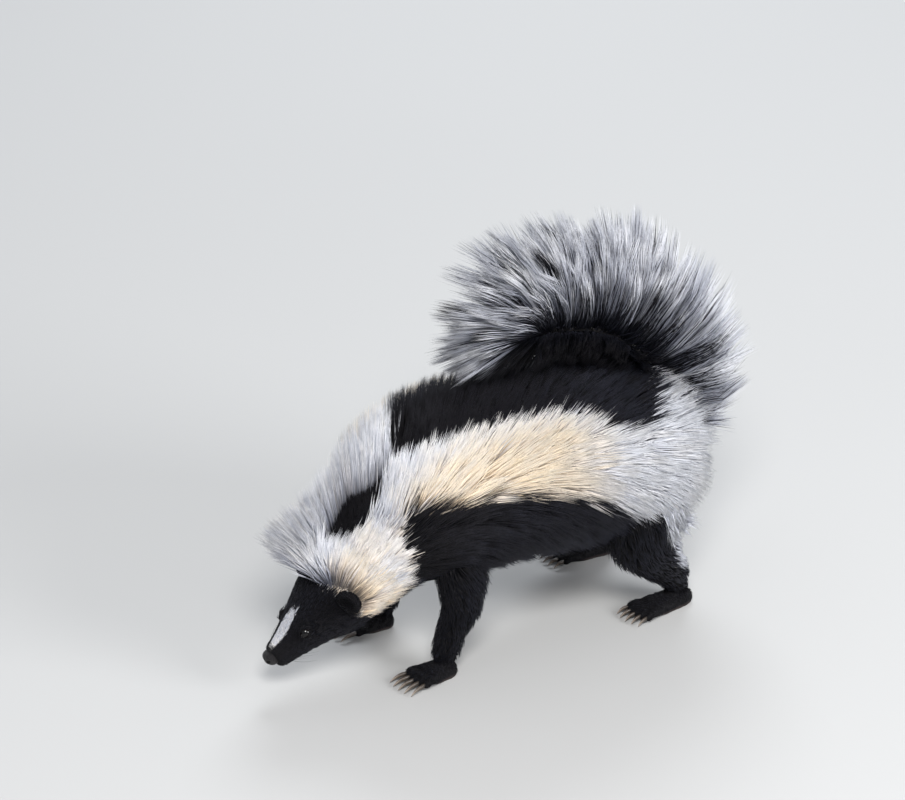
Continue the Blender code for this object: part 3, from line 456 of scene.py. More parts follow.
def plume_point(s, angle, height, aim):
    """The point at `height` over the tail's skin, towards angle `aim` and along the lean of the hair."""
    last = TAIL_TUBE.length - TAIL_ROUND / 2
    over, s = np.maximum(s - last, 0), np.minimum(s, last)
    tangent, left, back = TAIL_TUBE.frame(s)
    turn = np.radians(aim)
    outward = left * np.sin(turn)[..., None] + back * np.cos(turn)[..., None]
    rise = (outward + tangent * read(PLUME_LEAN, s, MM)[..., None]) * np.asarray(height)[..., None]
    return TAIL_TUBE.skin(s, angle) + rise + tangent * over[..., None]


def body_mark(root, s, angle):
    """How white the body's coat is, from 0 to 1 with soft edges. root is the place where the hair starts."""
    signed = turned(angle)
    turn = np.abs(signed)
    front = read(CAP_FRONT, turn)
    left, right, low = (read(edge, s / MM) for edge in (BACK_LEFT, BACK_RIGHT, STRIPE_LOW))
    band = ease(signed, right - 3, right + 3) * (1 - ease(signed, left - 3, left + 3))
    return ease(root / MM, front - 5, front - 1) * (1 - band) * (1 - ease(turn, low - 5, low + 5))


def blaze_mark(s, y):
    """The thin white blaze on the middle of the face."""
    start, end = BLAZE
    middle = np.clip((s - start) / (end - start), 0, 1)
    half = BLAZE_HALF * (0.55 + 0.45 * np.sin(middle * np.pi))
    lengthwise = ease(s, start - 2 * MM, start + 2 * MM) * (1 - ease(s, end - 4 * MM, end + 2 * MM))
    return lengthwise * (1 - ease(np.abs(y), half * 0.7, half * 1.15))


def tail_mark(angle):
    """The tail is white on the outer side of its curve, and black inside it."""
    return ease(np.abs(turned(angle)), *TAIL_WHITE)


def leg_mark(part, points):
    """The white that runs down the back of each thigh."""
    x, z = (points[:, 0] - SHIFT[0]) / MM, points[:, 2] / MM
    edge = read(THIGH_EDGE, z)
    return np.isin(part, (ON_LEGS + 2, ON_LEGS + 3)) * ease(x, edge - 3, edge + 5) * ease(z, 26, 44)


def face_mark(s, angle, y):
    return np.maximum(body_mark(s, s, angle), blaze_mark(s, y - SHIFT[1]))


def body_warmth(s, angle):
    """Where the white is creamy: the middle of each stripe, and the cheeks."""
    turn, place = np.abs(turned(angle)), s / MM
    stripe = 0.9 * ease(place, 104, 150) * (1 - ease(place, 210, 285)) * ease(turn, 26, 54)
    cheek = 0.75 * ease(turn, 12, 40) * ease(place, 50, 58) * (1 - ease(place, 92, 132))
    return np.maximum(stripe, cheek)


class Look:
    """A material in the making. A method that adds a node gives back the socket that it puts out."""

    def __init__(self, name, roughness, specular):
        self.made = bpy.data.materials.new(name)
        self.made.use_nodes = True
        self.shader = self.made.node_tree.nodes["Principled BSDF"]
        self.fill(self.shader, {"Roughness": roughness, "Specular IOR Level": specular})

    def fill(self, node, inputs):
        """Links each input that is a socket, and sets the others."""
        for name, value in inputs.items():
            if isinstance(value, bpy.types.NodeSocket):
                self.made.node_tree.links.new(value, node.inputs[name])
            else:
                node.inputs[name].default_value = value

    def add(self, kind, output, inputs, **settings):
        node = self.made.node_tree.nodes.new("ShaderNode" + kind)
        for name, value in settings.items():
            setattr(node, name, value)
        self.fill(node, inputs)
        return node.outputs[output]

    def ramp(self, place, *stops):
        """Colours between (place, colour) stops."""
        node = self.made.node_tree.nodes.new("ShaderNodeValToRGB")
        points = node.color_ramp.elements
        while len(points) < len(stops):
            points.new(0.5)
        for element, (position, colour) in zip(points, stops):
            element.position = position
            element.color = (*colour, 1)
        self.fill(node, {"Fac": place})
        return node.outputs["Color"]

    def attribute(self, name):
        return self.add("Attribute", "Fac", {}, attribute_name=name)

    def noise(self, scale, detail=3.0, **inputs):
        return self.add("TexNoise", "Fac", {"Scale": scale, "Detail": detail, **inputs})

    def mix(self, share, first, second, blend="MIX"):
        inputs = {"Factor": share, "A": first, "B": second}
        return self.add("Mix", "Result", inputs, data_type="RGBA", blend_type=blend)

    def bump(self, height, strength, **settings):
        inputs = {"Strength": strength, "Distance": BUMP_DISTANCE, "Height": height}
        return self.add("Bump", "Normal", inputs, **settings)

    def finished(self, colour, **inputs):
        self.fill(self.shader, {"Base Color": colour, **inputs})
        return self.made


def strand_streaks(look):
    """Fine streaks that run along each tuft, so that it reads as a lock of hairs."""
    place = look.add("UVMap", "UV", {}, uv_map="OFBake")
    stretched = look.add("Mapping", "Vector", {"Vector": place, "Scale": STREAK_SCALE})
    return look.ramp(look.noise(1.0, 2.0, Vector=stretched), (0.36, (0.66, 0.66, 0.68)), (0.6, (1, 1, 1)))


def coat_material():
    """Fur that is black or white by its mark, creamy where warm, darker at the root, and varied by tuft. The
    darker roots are partly the hair's own base and partly painted shade deep in the coat, and the tones also
    hold painted shade and painted light by region.
    """
    look = Look("coat_fur", 0.58, 0.16)
    tip = look.attribute("tip")
    # From root to tip: the darker roots are partly the hair's own base and partly painted shade between the
    # tufts.
    black = look.ramp(tip, (0, (0.0015, 0.0015, 0.002)), (0.6, (0.0035, 0.003, 0.004)),
                      (1, (0.009, 0.008, 0.011)))
    cool = look.ramp(tip, (0, (0.36, 0.37, 0.43)), (0.35, (0.66, 0.68, 0.75)), (0.7, (0.86, 0.88, 0.92)),
                     (1, (0.95, 0.96, 0.97)))
    cream = look.ramp(tip, (0, (0.52, 0.45, 0.37)), (0.35, (0.85, 0.67, 0.46)), (0.7, (0.94, 0.79, 0.58)),
                      (1, (0.97, 0.88, 0.71)))
    coat = look.mix(look.attribute("mark"), black, look.mix(look.attribute("warm"), cool, cream))
    # Tones by the shade attribute: low values give the grey of painted shade, and the random spread varies
    # the tufts.
    tones = look.ramp(look.attribute("shade"), (0, (0.5, 0.51, 0.56)), (0.3, (0.76, 0.76, 0.79)),
                      (0.6, (0.95, 0.94, 0.94)), (1, (1, 1, 1)))
    varied = look.mix(1.0, coat, tones, "MULTIPLY")
    sheen = {"Sheen Weight": 0.03, "Sheen Roughness": 0.4, "Sheen Tint": (0.62, 0.68, 1.0, 1)}
    return look.finished(look.mix(1.0, varied, strand_streaks(look), "MULTIPLY"), **sheen)


def skin_material():
    """Skin under the fur: dark or pale by the markings, with short flat hair as fine bump, and bare soles."""
    look = Look("skin_under_fur", 0.7, 0.14)
    spots = look.noise(900)
    dark = look.ramp(spots, (0.3, (0.003, 0.003, 0.0035)), (0.7, (0.007, 0.0065, 0.008)))
    pale = look.ramp(spots, (0.3, (0.68, 0.66, 0.64)), (0.7, (0.88, 0.86, 0.83)))
    leather = look.ramp(look.noise(420, 5), (0.35, (0.02, 0.015, 0.015)), (0.7, (0.06, 0.045, 0.043)))
    coat = look.mix(look.attribute("mark"), dark, pale)
    return look.finished(look.mix(look.attribute("bare"), coat, leather), Normal=look.bump(spots, 0.5))


def eye_material():
    """A wet, very dark brown eye with a black pupil."""
    look = Look("wet_eye", 0.07, 0.4)
    return look.finished(look.ramp(
        look.attribute("iris"), (0.0, (0.0015, 0.001, 0.001)), (0.42, (0.002, 0.0015, 0.0015)),
        (0.5, (0.007, 0.004, 0.003)), (0.85, (0.004, 0.0025, 0.002)), (1, (0.002, 0.0015, 0.0015)),
    ))


def nose_material():
    """Moist dark pebbled leather."""
    look = Look("nose_leather", 0.42, 0.32)
    cells = look.add("TexVoronoi", "Distance", {"Scale": 1250})
    tones = look.ramp(cells, (0, (0.016, 0.014, 0.016)), (0.6, (0.009, 0.008, 0.009)),
                      (1, (0.004, 0.0035, 0.004)))
    return look.finished(tones, Normal=look.bump(cells, 0.7, invert=True))


def claw_material():
    """Horn: dark at the root and paler and worn towards the tip."""
    look = Look("claw_horn", 0.38, 0.45)
    worn = {0: look.noise(700, 4), 1: 0.25, 2: look.attribute("tip")}
    wear = look.add("Math", "Value", worn, operation="MULTIPLY_ADD")
    return look.finished(look.ramp(wear, (0.1, (0.02, 0.016, 0.013)), (0.6, (0.075, 0.058, 0.045)),
                                   (1.0, (0.24, 0.2, 0.16))))


def floor_material():
    look = Look("pale_floor", 0.8, 0.2)
    return look.finished(look.ramp(look.noise(6), (0.3, (0.47, 0.47, 0.465)), (0.7, (0.495, 0.495, 0.49))))


def placed(name, data):
    made = bpy.data.objects.new(name, data)
    bpy.context.scene.collection.objects.link(made)
    return made


def mesh_object(name, points, faces, look=None):
    mesh = bpy.data.meshes.new(name)
    mesh.from_pydata([tuple(map(float, p)) for p in points], [], [tuple(map(int, f)) for f in faces])
    work = bmesh.new()
    work.from_mesh(mesh)
    bmesh.ops.recalc_face_normals(work, faces=work.faces)
    work.to_mesh(mesh)
    work.free()
    if look:
        mesh.materials.append(look)
    mesh.shade_smooth()
    return placed(name, mesh)


def joined(name, shapes, look=None):
    """One object from several (points, faces) shapes."""
    points, faces = [], []
    for some_points, some_faces in shapes:
        base = len(points)
        points += list(some_points)
        faces += [tuple(index + base for index in face) for face in some_faces]
    return mesh_object(name, points, faces, look)


def evaluated(made):
    """The object's mesh with its modifiers applied."""
    bpy.context.view_layer.update()
    return bpy.data.meshes.new_from_object(made.evaluated_get(bpy.context.evaluated_depsgraph_get()))


def set_attribute(mesh, name, values):
    mesh.attributes.new(name, "FLOAT", "POINT").data.foreach_set("value", np.asarray(values, np.float32))


def fetch(items, name, kind=np.float32):
    """The three values under `name` of each item, a row each."""
    values = np.zeros(len(items) * 3, kind)
    items.foreach_get(name, values)
    return values.reshape(-1, 3)


def get_points(mesh):
    return fetch(mesh.vertices, "co").astype(float)


def get_normals(mesh):
    return fetch(mesh.vertices, "normal").astype(float)


def set_points(mesh, points):
    mesh.vertices.foreach_set("co", np.asarray(points, np.float32).ravel())
    mesh.update()


def settle(piece, slot, *nodes):
    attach(piece, "root")
    if nodes:
        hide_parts(*nodes)


def ellipsoid_shape(centre, axes, radii, segments, rings):
    """(points, faces) of an ellipsoid whose poles lie on the third axis."""
    points = []
    for ring in range(1, rings):
        polar = math.pi * ring / rings
        for segment in range(segments):
            turn = 2 * math.pi * segment / segments
            local = (math.sin(polar) * math.cos(turn), math.sin(polar) * math.sin(turn), math.cos(polar))
            offsets = (axis * radius * part for axis, radius, part in zip(axes, radii, local))
            points.append(centre + sum(offsets))
    faces = ring_faces(rings - 1, segments)
    for pole, start in ((1, 0), (-1, (rings - 2) * segments)):
        points.append(centre + axes[2] * radii[2] * pole)
        faces += cap_faces(start, segments, len(points) - 1)
    return points, faces


def sphere_shape(segments, rings):
    """(points, faces) of a ball of radius 1, with its points as an array."""
    points, faces = ellipsoid_shape(np.zeros(3), np.eye(3), (1, 1, 1), segments, rings)
    return np.array(points), faces


def sweep_shape(path, radii, sides, flatten=1.0):
    """(points, faces) of a round bar along a path, with each end rounded. flatten narrows it sideways."""
    path, radii = np.asarray(path, float), np.asarray(radii, float)
    tangents = unit(np.gradient(path, axis=0))
    across = unit(np.cross(tangents, UP))
    over = np.cross(across, tangents)
    turns = 2 * np.pi * np.arange(sides) / sides
    rings = (
        path[:, None]
        + across[:, None] * (np.cos(turns)[:, None] * radii[:, None, None]) * flatten
        + over[:, None] * (np.sin(turns)[:, None] * radii[:, None, None])
    )
    points, faces = list(rings.reshape(-1, 3)), ring_faces(len(path), sides)
    for end, start, sign in ((0, 0, -1), (-1, (len(path) - 1) * sides, 1)):
        points.append(path[end] + tangents[end] * radii[end] * 0.7 * sign)
        faces += cap_faces(start, sides, len(points) - 1)
    return points, faces


def foot_of(name):
    """The paw and the side of the leg of that name."""
    return (FOREPAW if name.startswith("front") else HINDPAW), (-1 if name.endswith("left") else 1)


def paw_frame(spec, side):
    turn = math.radians(spec.yaw)
    forward = np.array([-math.cos(turn), side * math.sin(turn), 0.0])
    across = np.array([math.sin(turn), side * math.cos(turn), 0.0])
    return np.array([spec.x, -side * spec.y, 0.0]) + SHIFT, forward, across


def toes(spec, side):
    """(root, aim, end, reach) of each toe of a foot."""
    middle, forward, across = paw_frame(spec, side)
    found = []
    for toe, share in enumerate(TOE_LENGTHS):
        spread = (toe - 2) / 2
        root = middle + forward * (spec.length * 0.5 - TOE_BACK) + across * spread * spec.width * 0.37
        aim = unit(forward + across * spread * 0.14)
        reach = TOE_BACK + spec.toe * share
        found.append((root + UP * 3.6 * MM, aim, root + aim * reach + UP * 4.0 * MM, reach))
    return found


def paw_shapes(spec, side):
    """The sole and toes of one foot."""
    middle, forward, _ = paw_frame(spec, side)
    rows = []
    for share, width, height in PAW_OUTLINE:
        point = (middle + forward * spec.length * share + UP * spec.height * 0.3) / MM
        rows.append((*point, width * spec.width / MM, height * spec.height * 0.66 / MM, 6, 0))
    sole = Tube(rows, spec.length * 0.12, spec.length * 0.12)
    shares = np.concatenate([[0.004, 0.02, 0.05], np.linspace(0.09, 0.91, 12), [0.95, 0.98, 0.996]])
    shapes = [sole.loft(shares * sole.length, 28)]
    for root, aim, end, reach in toes(spec, side):
        knuckle = root + aim * reach * 0.62 + UP * 1.5 * MM
        path = [root, root + aim * reach * 0.3 + UP * 0.9 * MM, knuckle, root + aim * reach * 0.84,
                end - aim * 0.6 * MM]
        shapes.append(sweep_shape(path, TOE_RADIUS * np.array(TOE_TAPER), 14))
    return shapes


def ear_shape(side):
    """A rounded ear with an open cup, as one closed bowl."""
    centre, axes = ear_frame(side)
    radii = np.array(EAR_RADII)
    outer = mesh_object("ear_outer", *ellipsoid_shape(centre, axes, radii, 40, 22))
    cup_centre = centre + axes[1] * EAR_CUP_OFFSET + axes[2] * 1.2 * MM
    cup = mesh_object("ear_cup", *ellipsoid_shape(cup_centre, axes, radii * EAR_CUP_SHARE, 40, 22))
    cut = outer.modifiers.new("cup", "BOOLEAN")
    cut.operation, cut.object, cut.solver = "DIFFERENCE", cup, "EXACT"
    shape = evaluated(outer)
    bpy.data.objects.remove(outer)
    bpy.data.objects.remove(cup)
    points = [np.array(vertex.co) for vertex in shape.vertices]
    return points, [tuple(face.vertices) for face in shape.polygons]


def refine(mesh, centres, reaches):
    """Splits the mesh's faces once more round each centre."""
    work = bmesh.new()
    work.from_mesh(mesh)
    for centre, reach in zip(centres, reaches):
        near = Vector(centre)
        edges = [e for e in work.edges if all((end.co - near).length < reach for end in e.verts)]
        bmesh.ops.subdivide_edges(work, edges=edges, cuts=1, use_grid_fill=True, smooth=0.6)
    bmesh.ops.triangulate(work, faces=[f for f in work.faces if len(f.verts) > 4])
    work.to_mesh(mesh)
    work.free()


def shape_eye_socket(points, side):
    """Sinks the socket behind the eye and raises the two lids round it."""
    centre, (lengthwise, round_axis, outward) = eye_frame(side)
    local = points - centre
    u, v, w = local @ lengthwise, local @ round_axis, local @ outward
    # The opening is an almond: it narrows towards both corners of the eye.
    share = u / EYE_OPENING[0]
    reach = np.hypot(share, v / (EYE_OPENING[1] * np.sqrt(np.clip(1 - 0.35 * share**2, 0.3, 1))))
    ball = np.sqrt(np.clip(EYE_RADIUS**2 - u**2 - v**2, 0, None))
    rim = np.maximum(ball + LID_RISE, -EYE_OUT)
    lid = hump(reach, LID_AT, LID_WIDTH)
    raised = np.where(reach < LID_AT, rim, rim * lid + w * (1 - lid))
    level = np.maximum(raised, w) - LID_CREASE * hump(reach, 1.95, 0.22)
    sunk = np.minimum(w, ball - 2.2 * MM)
    level = np.where(reach < 1.0, sunk + (rim - sunk) * ease(reach, 0.88, 1.0), level)
    fade = (1 - ease(np.hypot(u, v), 7 * MM, 11 * MM)) * (w > -8 * MM)
    return points + outward * ((level - w) * fade)[:, None]


def shape_mouth(points, normals, side):
    """Cuts the line of the mouth and raises the lips beside it."""
    s = np.linspace(MOUTH[0][0], MOUTH[-1][0], 40)
    path = BODY_TUBE.skin(s * MM, -side * read(MOUTH, s))
    low, high = path.min(axis=0) - 6 * MM, path.max(axis=0) + 6 * MM
    near = np.flatnonzero(np.all((points > low) & (points < high), axis=1))
    gap = np.linalg.norm(points[near][:, None] - path[None], axis=-1).min(axis=1)
    lift = LIP_RISE * hump(gap, LIP_AT, LIP_WIDTH) - MOUTH_DEPTH * hump(gap, 0, MOUTH_WIDTH)
    points[near] += normals[near] * lift[:, None]
    return points


def flesh_shapes():
    """The body, tail, legs, feet and ears, which the skin is fused from."""
    muzzle = np.array([0.02, 0.1, 0.25, 0.5]) * MUZZLE_ROUND
    rump = BODY_TUBE.length - RUMP_ROUND * np.array([0.5, 0.3, 0.15, 0.06, 0.02, 0.004])
    places = np.concatenate([muzzle, np.linspace(4 * MM, BODY_TUBE.length - 30 * MM, 130), rump])
    shapes = [Tube(BODY, MUZZLE_ROUND, RUMP_ROUND, SHIFT).loft(places, 96)]
    tip = TAIL_TUBE.length - TAIL_ROUND * np.array([0.5, 0.25, 0.1, 0.02])
    places = np.concatenate([np.linspace(0, TAIL_TUBE.length - TAIL_ROUND, 50), tip])
    shapes.append(TAIL_TUBE.loft(places, 40))
    for leg in LEGS.values():
        top = np.array([0.05, 0.2, 0.5]) * LEG_ROUND
        places = np.concatenate([top, np.linspace(LEG_ROUND, leg.length, 30)])
        deep = LEG_COAT[0] + (LEG_COAT[1] - LEG_COAT[0]) * np.clip(places / (leg.length * 0.8), 0, 1)
        shapes.append(leg.loft(places, 40, -deep))
    for spec in (FOREPAW, HINDPAW):
        for side in SIDES:
            shapes += paw_shapes(spec, side)
    return shapes + [ear_shape(side) for side in SIDES]


def build_skin(look):
    """One skin over the whole animal, with its sockets, lids, mouth, ears and feet."""
    made = joined("skin", flesh_shapes())
    remesh = made.modifiers.new("remesh", "REMESH")
    remesh.mode, remesh.voxel_size = "VOXEL", SKIN_VOXEL
    smooth = made.modifiers.new("smooth", "SMOOTH")
    smooth.factor, smooth.iterations = 0.5, 4
    mesh = evaluated(made)
    made.modifiers.clear()
    old, made.data = made.data, mesh
    bpy.data.meshes.remove(old)
    eyes_at = [eye_frame(side)[0] for side in SIDES]
    muzzle = BODY_TUBE.centre(np.array(12 * MM))
    refine(mesh, eyes_at + [muzzle] + eyes_at, [11 * MM] * 2 + [24 * MM] + [7 * MM] * 2)
    points = get_points(mesh)
    for side in SIDES:
        points = shape_eye_socket(points, side)
        points = shape_mouth(points, get_normals(mesh), side)
    points[:, 2] = np.maximum(points[:, 2], 0)
    set_points(mesh, points)
    mesh.materials.append(look)
    mesh.shade_smooth()
    settle(made, "black_coat", *FLESH)
    return mesh


def sample_places():
    """Points on the body, tail and legs with their part, place and angle, to look a skin point up by."""
    rows = []
    parts = [
        (ON_BODY, BODY_TUBE, 1.2 * MM, 4.0, 0.0, 70 * MM),
        (ON_BODY, BODY_TUBE, 3 * MM, 6.0, 70 * MM, None),
        (ON_TAIL, TAIL_TUBE, 3 * MM, 15.0, 20 * MM, None),
    ]
    for number, leg in enumerate(LEGS.values()):
        parts.append((ON_LEGS + number, leg, 3 * MM, 15.0, 12 * MM, None))
    for part, tube, step, turn, start, end in parts:
        places, angles = np.arange(start, end or tube.length, step), np.arange(-180, 180, turn)
        s, angle = np.meshgrid(places, angles, indexing="ij")
        points = tube.skin(s, angle)
        rows.append(np.column_stack([points.reshape(-1, 3), np.full(s.size, part), s.ravel(), angle.ravel()]))
    return np.concatenate(rows)


def locate(mesh):
    """The skin's points with their part, and their nearest place and angle on the tubes."""
    points = get_points(mesh)
    table = sample_places()
    tree = KDTree(len(table))
    for index, row in enumerate(table[:, :3]):
        tree.insert(row, index)
    tree.balance()
    nearest = np.array([tree.find(point)[1] for point in points])
    part, s, angle = table[nearest, 3].astype(int), table[nearest, 4], table[nearest, 5]
    part[(points[:, 2] < ANKLE_TOP * 0.85) & (part >= ON_LEGS)] += ON_PAWS - ON_LEGS
    for number, side in enumerate(SIDES):
        centre, axes = ear_frame(side)
        local = np.stack([(points - centre) @ axis / radius for axis, radius in zip(axes, EAR_RADII)], -1)
        part[(np.linalg.norm(local, axis=1) < 1.08) & (local[:, 2] > -0.55)] = ON_EARS + number
    mesh.calc_loop_triangles()
    return Skin(points, get_normals(mesh), fetch(mesh.loop_triangles, "vertices", np.int32), part, s, angle)


def mark_skin(mesh, skin):
    """Gives the skin the coat's markings, and its bare soles."""
    points, part = skin.points, skin.part
    marks = np.where(part == ON_BODY, face_mark(skin.s, skin.angle, points[:, 1]), 0)
    marks = np.where(part == ON_TAIL, tail_mark(skin.angle), marks)
    set_attribute(mesh, "mark", np.where(part >= ON_LEGS, leg_mark(part, points), marks))
    paws = (part >= ON_PAWS) * (part < ON_EARS)
    set_attribute(mesh, "bare", paws * (1 - ease(points[:, 2], 1.5 * MM, 3 * MM)))


def strands(paths, across, widths, flat):
    """(points, triangles, corners on the patch, share along) of a closed three-sided tuft on each path."""
    count, knots = paths.shape[:2]
    flow = unit(np.gradient(paths, axis=1))
    aside = unit(across[:, None] - flow * dot(across[:, None], flow))
    over = np.cross(aside, flow)
    turns = np.pi / 2 + 2 * np.pi * np.arange(3) / 3
    rings = (
        paths[:, :-1, None]
        + aside[:, :-1, None] * (np.cos(turns)[None, None] * widths[:, :-1, None] / 2)[..., None]
        + over[:, :-1, None] * (np.sin(turns)[None, None] * (widths * flat)[:, :-1, None] / 2)[..., None]
    ).reshape(count, -1, 3)
    faces, corners = [(0, 2, 1)], [((0, 0), (0.5, 0.1), (1, 0))]
    for ring in range(knots - 1):
        low, high = (0.12 + 0.88 * level / (knots - 1) for level in (ring, ring + 1))
        for side in range(3):
            a, b = ring * 3 + side, ring * 3 + (side + 1) % 3
            left, right = side / 3, (side + 1) / 3
            if ring == knots - 2:
                faces.append((a, b, ring * 3 + 3))
                corners.append(((left, low), (right, low), ((side + 0.5) / 3, 1.0)))
            else:
                faces += [(a, b, b + 3), (a, b + 3, a + 3)]
                corners += [((left, low), (right, low), (right, high)),
                            ((left, low), (right, high), (left, high))]
    share = np.concatenate([np.repeat(np.arange(knots - 1), 3), [knots - 1]]) / (knots - 1)
    return np.concatenate([rings, paths[:, -1:]], axis=1), np.array(faces), np.array(corners), share


def coat_piece(name, tufts, look, node, slot, dark_root=0):
    """A joined mesh of many tufts, with each tuft's UV patch at its root's place."""
    points, faces, corners, share = strands(tufts.paths, tufts.across, tufts.widths, tufts.flat)
    count, size = points.shape[:2]
    points = np.clip(points, BOX_LOW, BOX_HIGH)
    all_faces = (faces[None] + (np.arange(count) * size)[:, None, None]).reshape(-1, 3)
    mesh = bpy.data.meshes.new(name)
    mesh.vertices.add(count * size)
    mesh.vertices.foreach_set("co", points.reshape(-1).astype(np.float32))
    mesh.loops.add(len(all_faces) * 3)
    mesh.loops.foreach_set("vertex_index", all_faces.reshape(-1).astype(np.int32))
    mesh.polygons.add(len(all_faces))
    mesh.polygons.foreach_set("loop_start", (np.arange(len(all_faces)) * 3).astype(np.int32))
    patches = tufts.place[:, None, None] * (1 - 2 * PATCH) + PATCH / 2 + corners.reshape(1, -1, 2) * PATCH
    mesh.uv_layers.new(name="OFBake").data.foreach_set("uv", patches.reshape(-1).astype(np.float32))
    set_attribute(mesh, "mark", np.outer(tufts.mark, 1 - dark_root * (share < FINEST)).ravel())
    set_attribute(mesh, "shade", np.repeat(tufts.shade, size))
    set_attribute(mesh, "warm", np.repeat(tufts.warm, size))
    set_attribute(mesh, "tip", np.tile(share, count))
    mesh.update(calc_edges=True)
    mesh.validate()
    mesh.materials.append(look)
    mesh.shade_smooth()
    settle(placed(name, mesh), slot, node)


def even_places(count):
    """An even sequence of points in the unit square."""
    number = np.arange(count) + 1.0
    return [(0.5 + number * step) % 1 for step in EVEN_STEPS]


def patch_place(turn, share):
    """The places of tufts on their piece's map, by the turn (of 1) round it and the share along it."""
    return np.stack([turn, np.clip(share, 0, 1)], -1)


def scatter(tube, start, end, count, weight):
    """Even places (s, angle) on a tube, denser where weight(s, angle) is larger."""
    rings, sides = SPREAD_GRID
    s_edges, a_edges = np.linspace(start, end, rings + 1), np.linspace(-180, 180, sides + 1)
    s, angle = np.meshgrid((s_edges[1:] + s_edges[:-1]) / 2, (a_edges[1:] + a_edges[:-1]) / 2, indexing="ij")
    ds, da = (end - start) / (2 * rings), 180 / sides
    lengthwise = tube.skin(s + ds, angle) - tube.skin(s - ds, angle)
    crosswise = tube.skin(s, angle + da) - tube.skin(s, angle - da)
    area = np.linalg.norm(np.cross(lengthwise, crosswise), axis=-1) * weight(s, angle)
    across, round_turn = even_places(count)
    rows = np.concatenate([[0], np.cumsum(area.sum(axis=1))])
    places = np.interp(across * rows[-1], rows, s_edges)
    angles = np.zeros(count)
    row_of = np.clip(np.searchsorted(s_edges, places, side="right") - 1, 0, rings - 1)
    for row in range(rings):
        mine = row_of == row
        steps = np.concatenate([[0], np.cumsum(area[row])])
        angles[mine] = np.interp(round_turn[mine] * steps[-1], steps, a_edges)
    return places, angles


def nearest_leaders(roots, count, rng):
    """For each root, the index of the nearest of some chosen roots, which lead the clumps."""
    leaders = rng.permutation(len(roots))[:count]
    tree = KDTree(len(leaders))
    for index in leaders:
        tree.insert(roots[index], int(index))
    tree.balance()
    return np.array([tree.find(root)[1] for root in roots])


def clumped(paths, leaders, pull, rng, spread):
    """Draws each tuft's path towards its leader's by a share that grows to the tip."""
    shares = np.array(pull)[None, :, None] * rng.uniform(0.5, 1.1, len(paths))[leaders][:, None, None]
    loose = rng.normal(0, spread, (len(paths), 1, 3)) * np.array(pull)[None, :, None]
    return paths + (paths[leaders] - paths) * np.clip(shares, 0, 0.95) + loose


def shortened(paths, share):
    return paths[:, :1] + (paths - paths[:, :1]) * share[:, None, None]


def coat_surface():
    """The coat's outer surface to find tips on, and the place (s, angle) of each of its faces."""
    places = np.concatenate([np.linspace(38 * MM, BODY_TUBE.length - 12 * MM, 150),
                             BODY_TUBE.length - np.array([8, 5, 3, 1.5, 0.6]) * MM])
    s, angle = np.meshgrid(places, np.arange(-180, 180, 5.0), indexing="ij")
    points = BODY_TUBE.point(s, angle, body_coat(s, angle)).reshape(-1, 3)
    spots = np.stack([(s[:-1] + s[1:]) / 2, angle[:-1] + 2.5], -1).reshape(-1, 2)
    faces = ring_faces(*s.shape, inward=True)
    return BVHTree.FromPolygons([tuple(p) for p in points], faces), spots


def coat_weight(s, angle):
    """How dense the tufts are: more on the mane, fewer under the belly, none on the ears and face."""
    turn = np.abs(turned(angle))
    mane = ease(body_coat(s, angle), *MANE_HEIGHTS)
    ears = ease(turn, 44, 52) * (1 - ease(turn, 76, 84)) * (1 - ease(s, 61 * MM, 66 * MM))
    front = read(CAP_FRONT, turn) * MM
    bare = (1 - ease(s, front, front + 2 * MM)) * (1 - ease(turn, 100, 130))
    return (1 + 0.9 * mane) * (1 - 0.45 * ease(turn, 120, 160)) * (1 - ears) * (1 - bare)


def body_paths(s, angle, rng, share, surface):
    """The tufts' paths on the trunk, neck and crown, where each tip shows on the coat, and how it stands."""
    tree, spots = surface
    direction, stand = hair_direction(s, angle)
    normal = BODY_TUBE.normal(s, angle)
    root = BODY_TUBE.point(s, angle, 0 * s - ROOT_DEPTH)
    aside = unit(np.cross(direction, normal) + BODY_TUBE.frame(s)[0] * 1e-3)
    direction = unit(direction + aside * np.tan(np.radians(rng.normal(0, 5, len(s))))[:, None])
    reach = LONGEST_HAIR[0] + (LONGEST_HAIR[1] - LONGEST_HAIR[0]) * stand
    seen_s, seen_angle = s.copy(), angle.copy()
    for index, (origin, way) in enumerate(zip(root, direction)):
        _, _, face, distance = tree.ray_cast(Vector(origin) + Vector(way) * RAY_START, Vector(way), RAY_REACH)
        if face is not None:
            reach[index] = min(reach[index], distance)
            seen_s[index], seen_angle[index] = spots[face]
    length = (reach * share)[:, None]
    middle = root + direction * length * 0.45 + normal * length * (0.11 * (1 - stand))[:, None]
    tip = root + (direction - UP * 0.05) * length
    gone = SEEN * share
    seen_s = s + (seen_s - s) * gone
    seen_angle = angle + turned(seen_angle - angle) * gone
    return np.stack([root, middle, tip], axis=1), aside, seen_s, seen_angle, stand


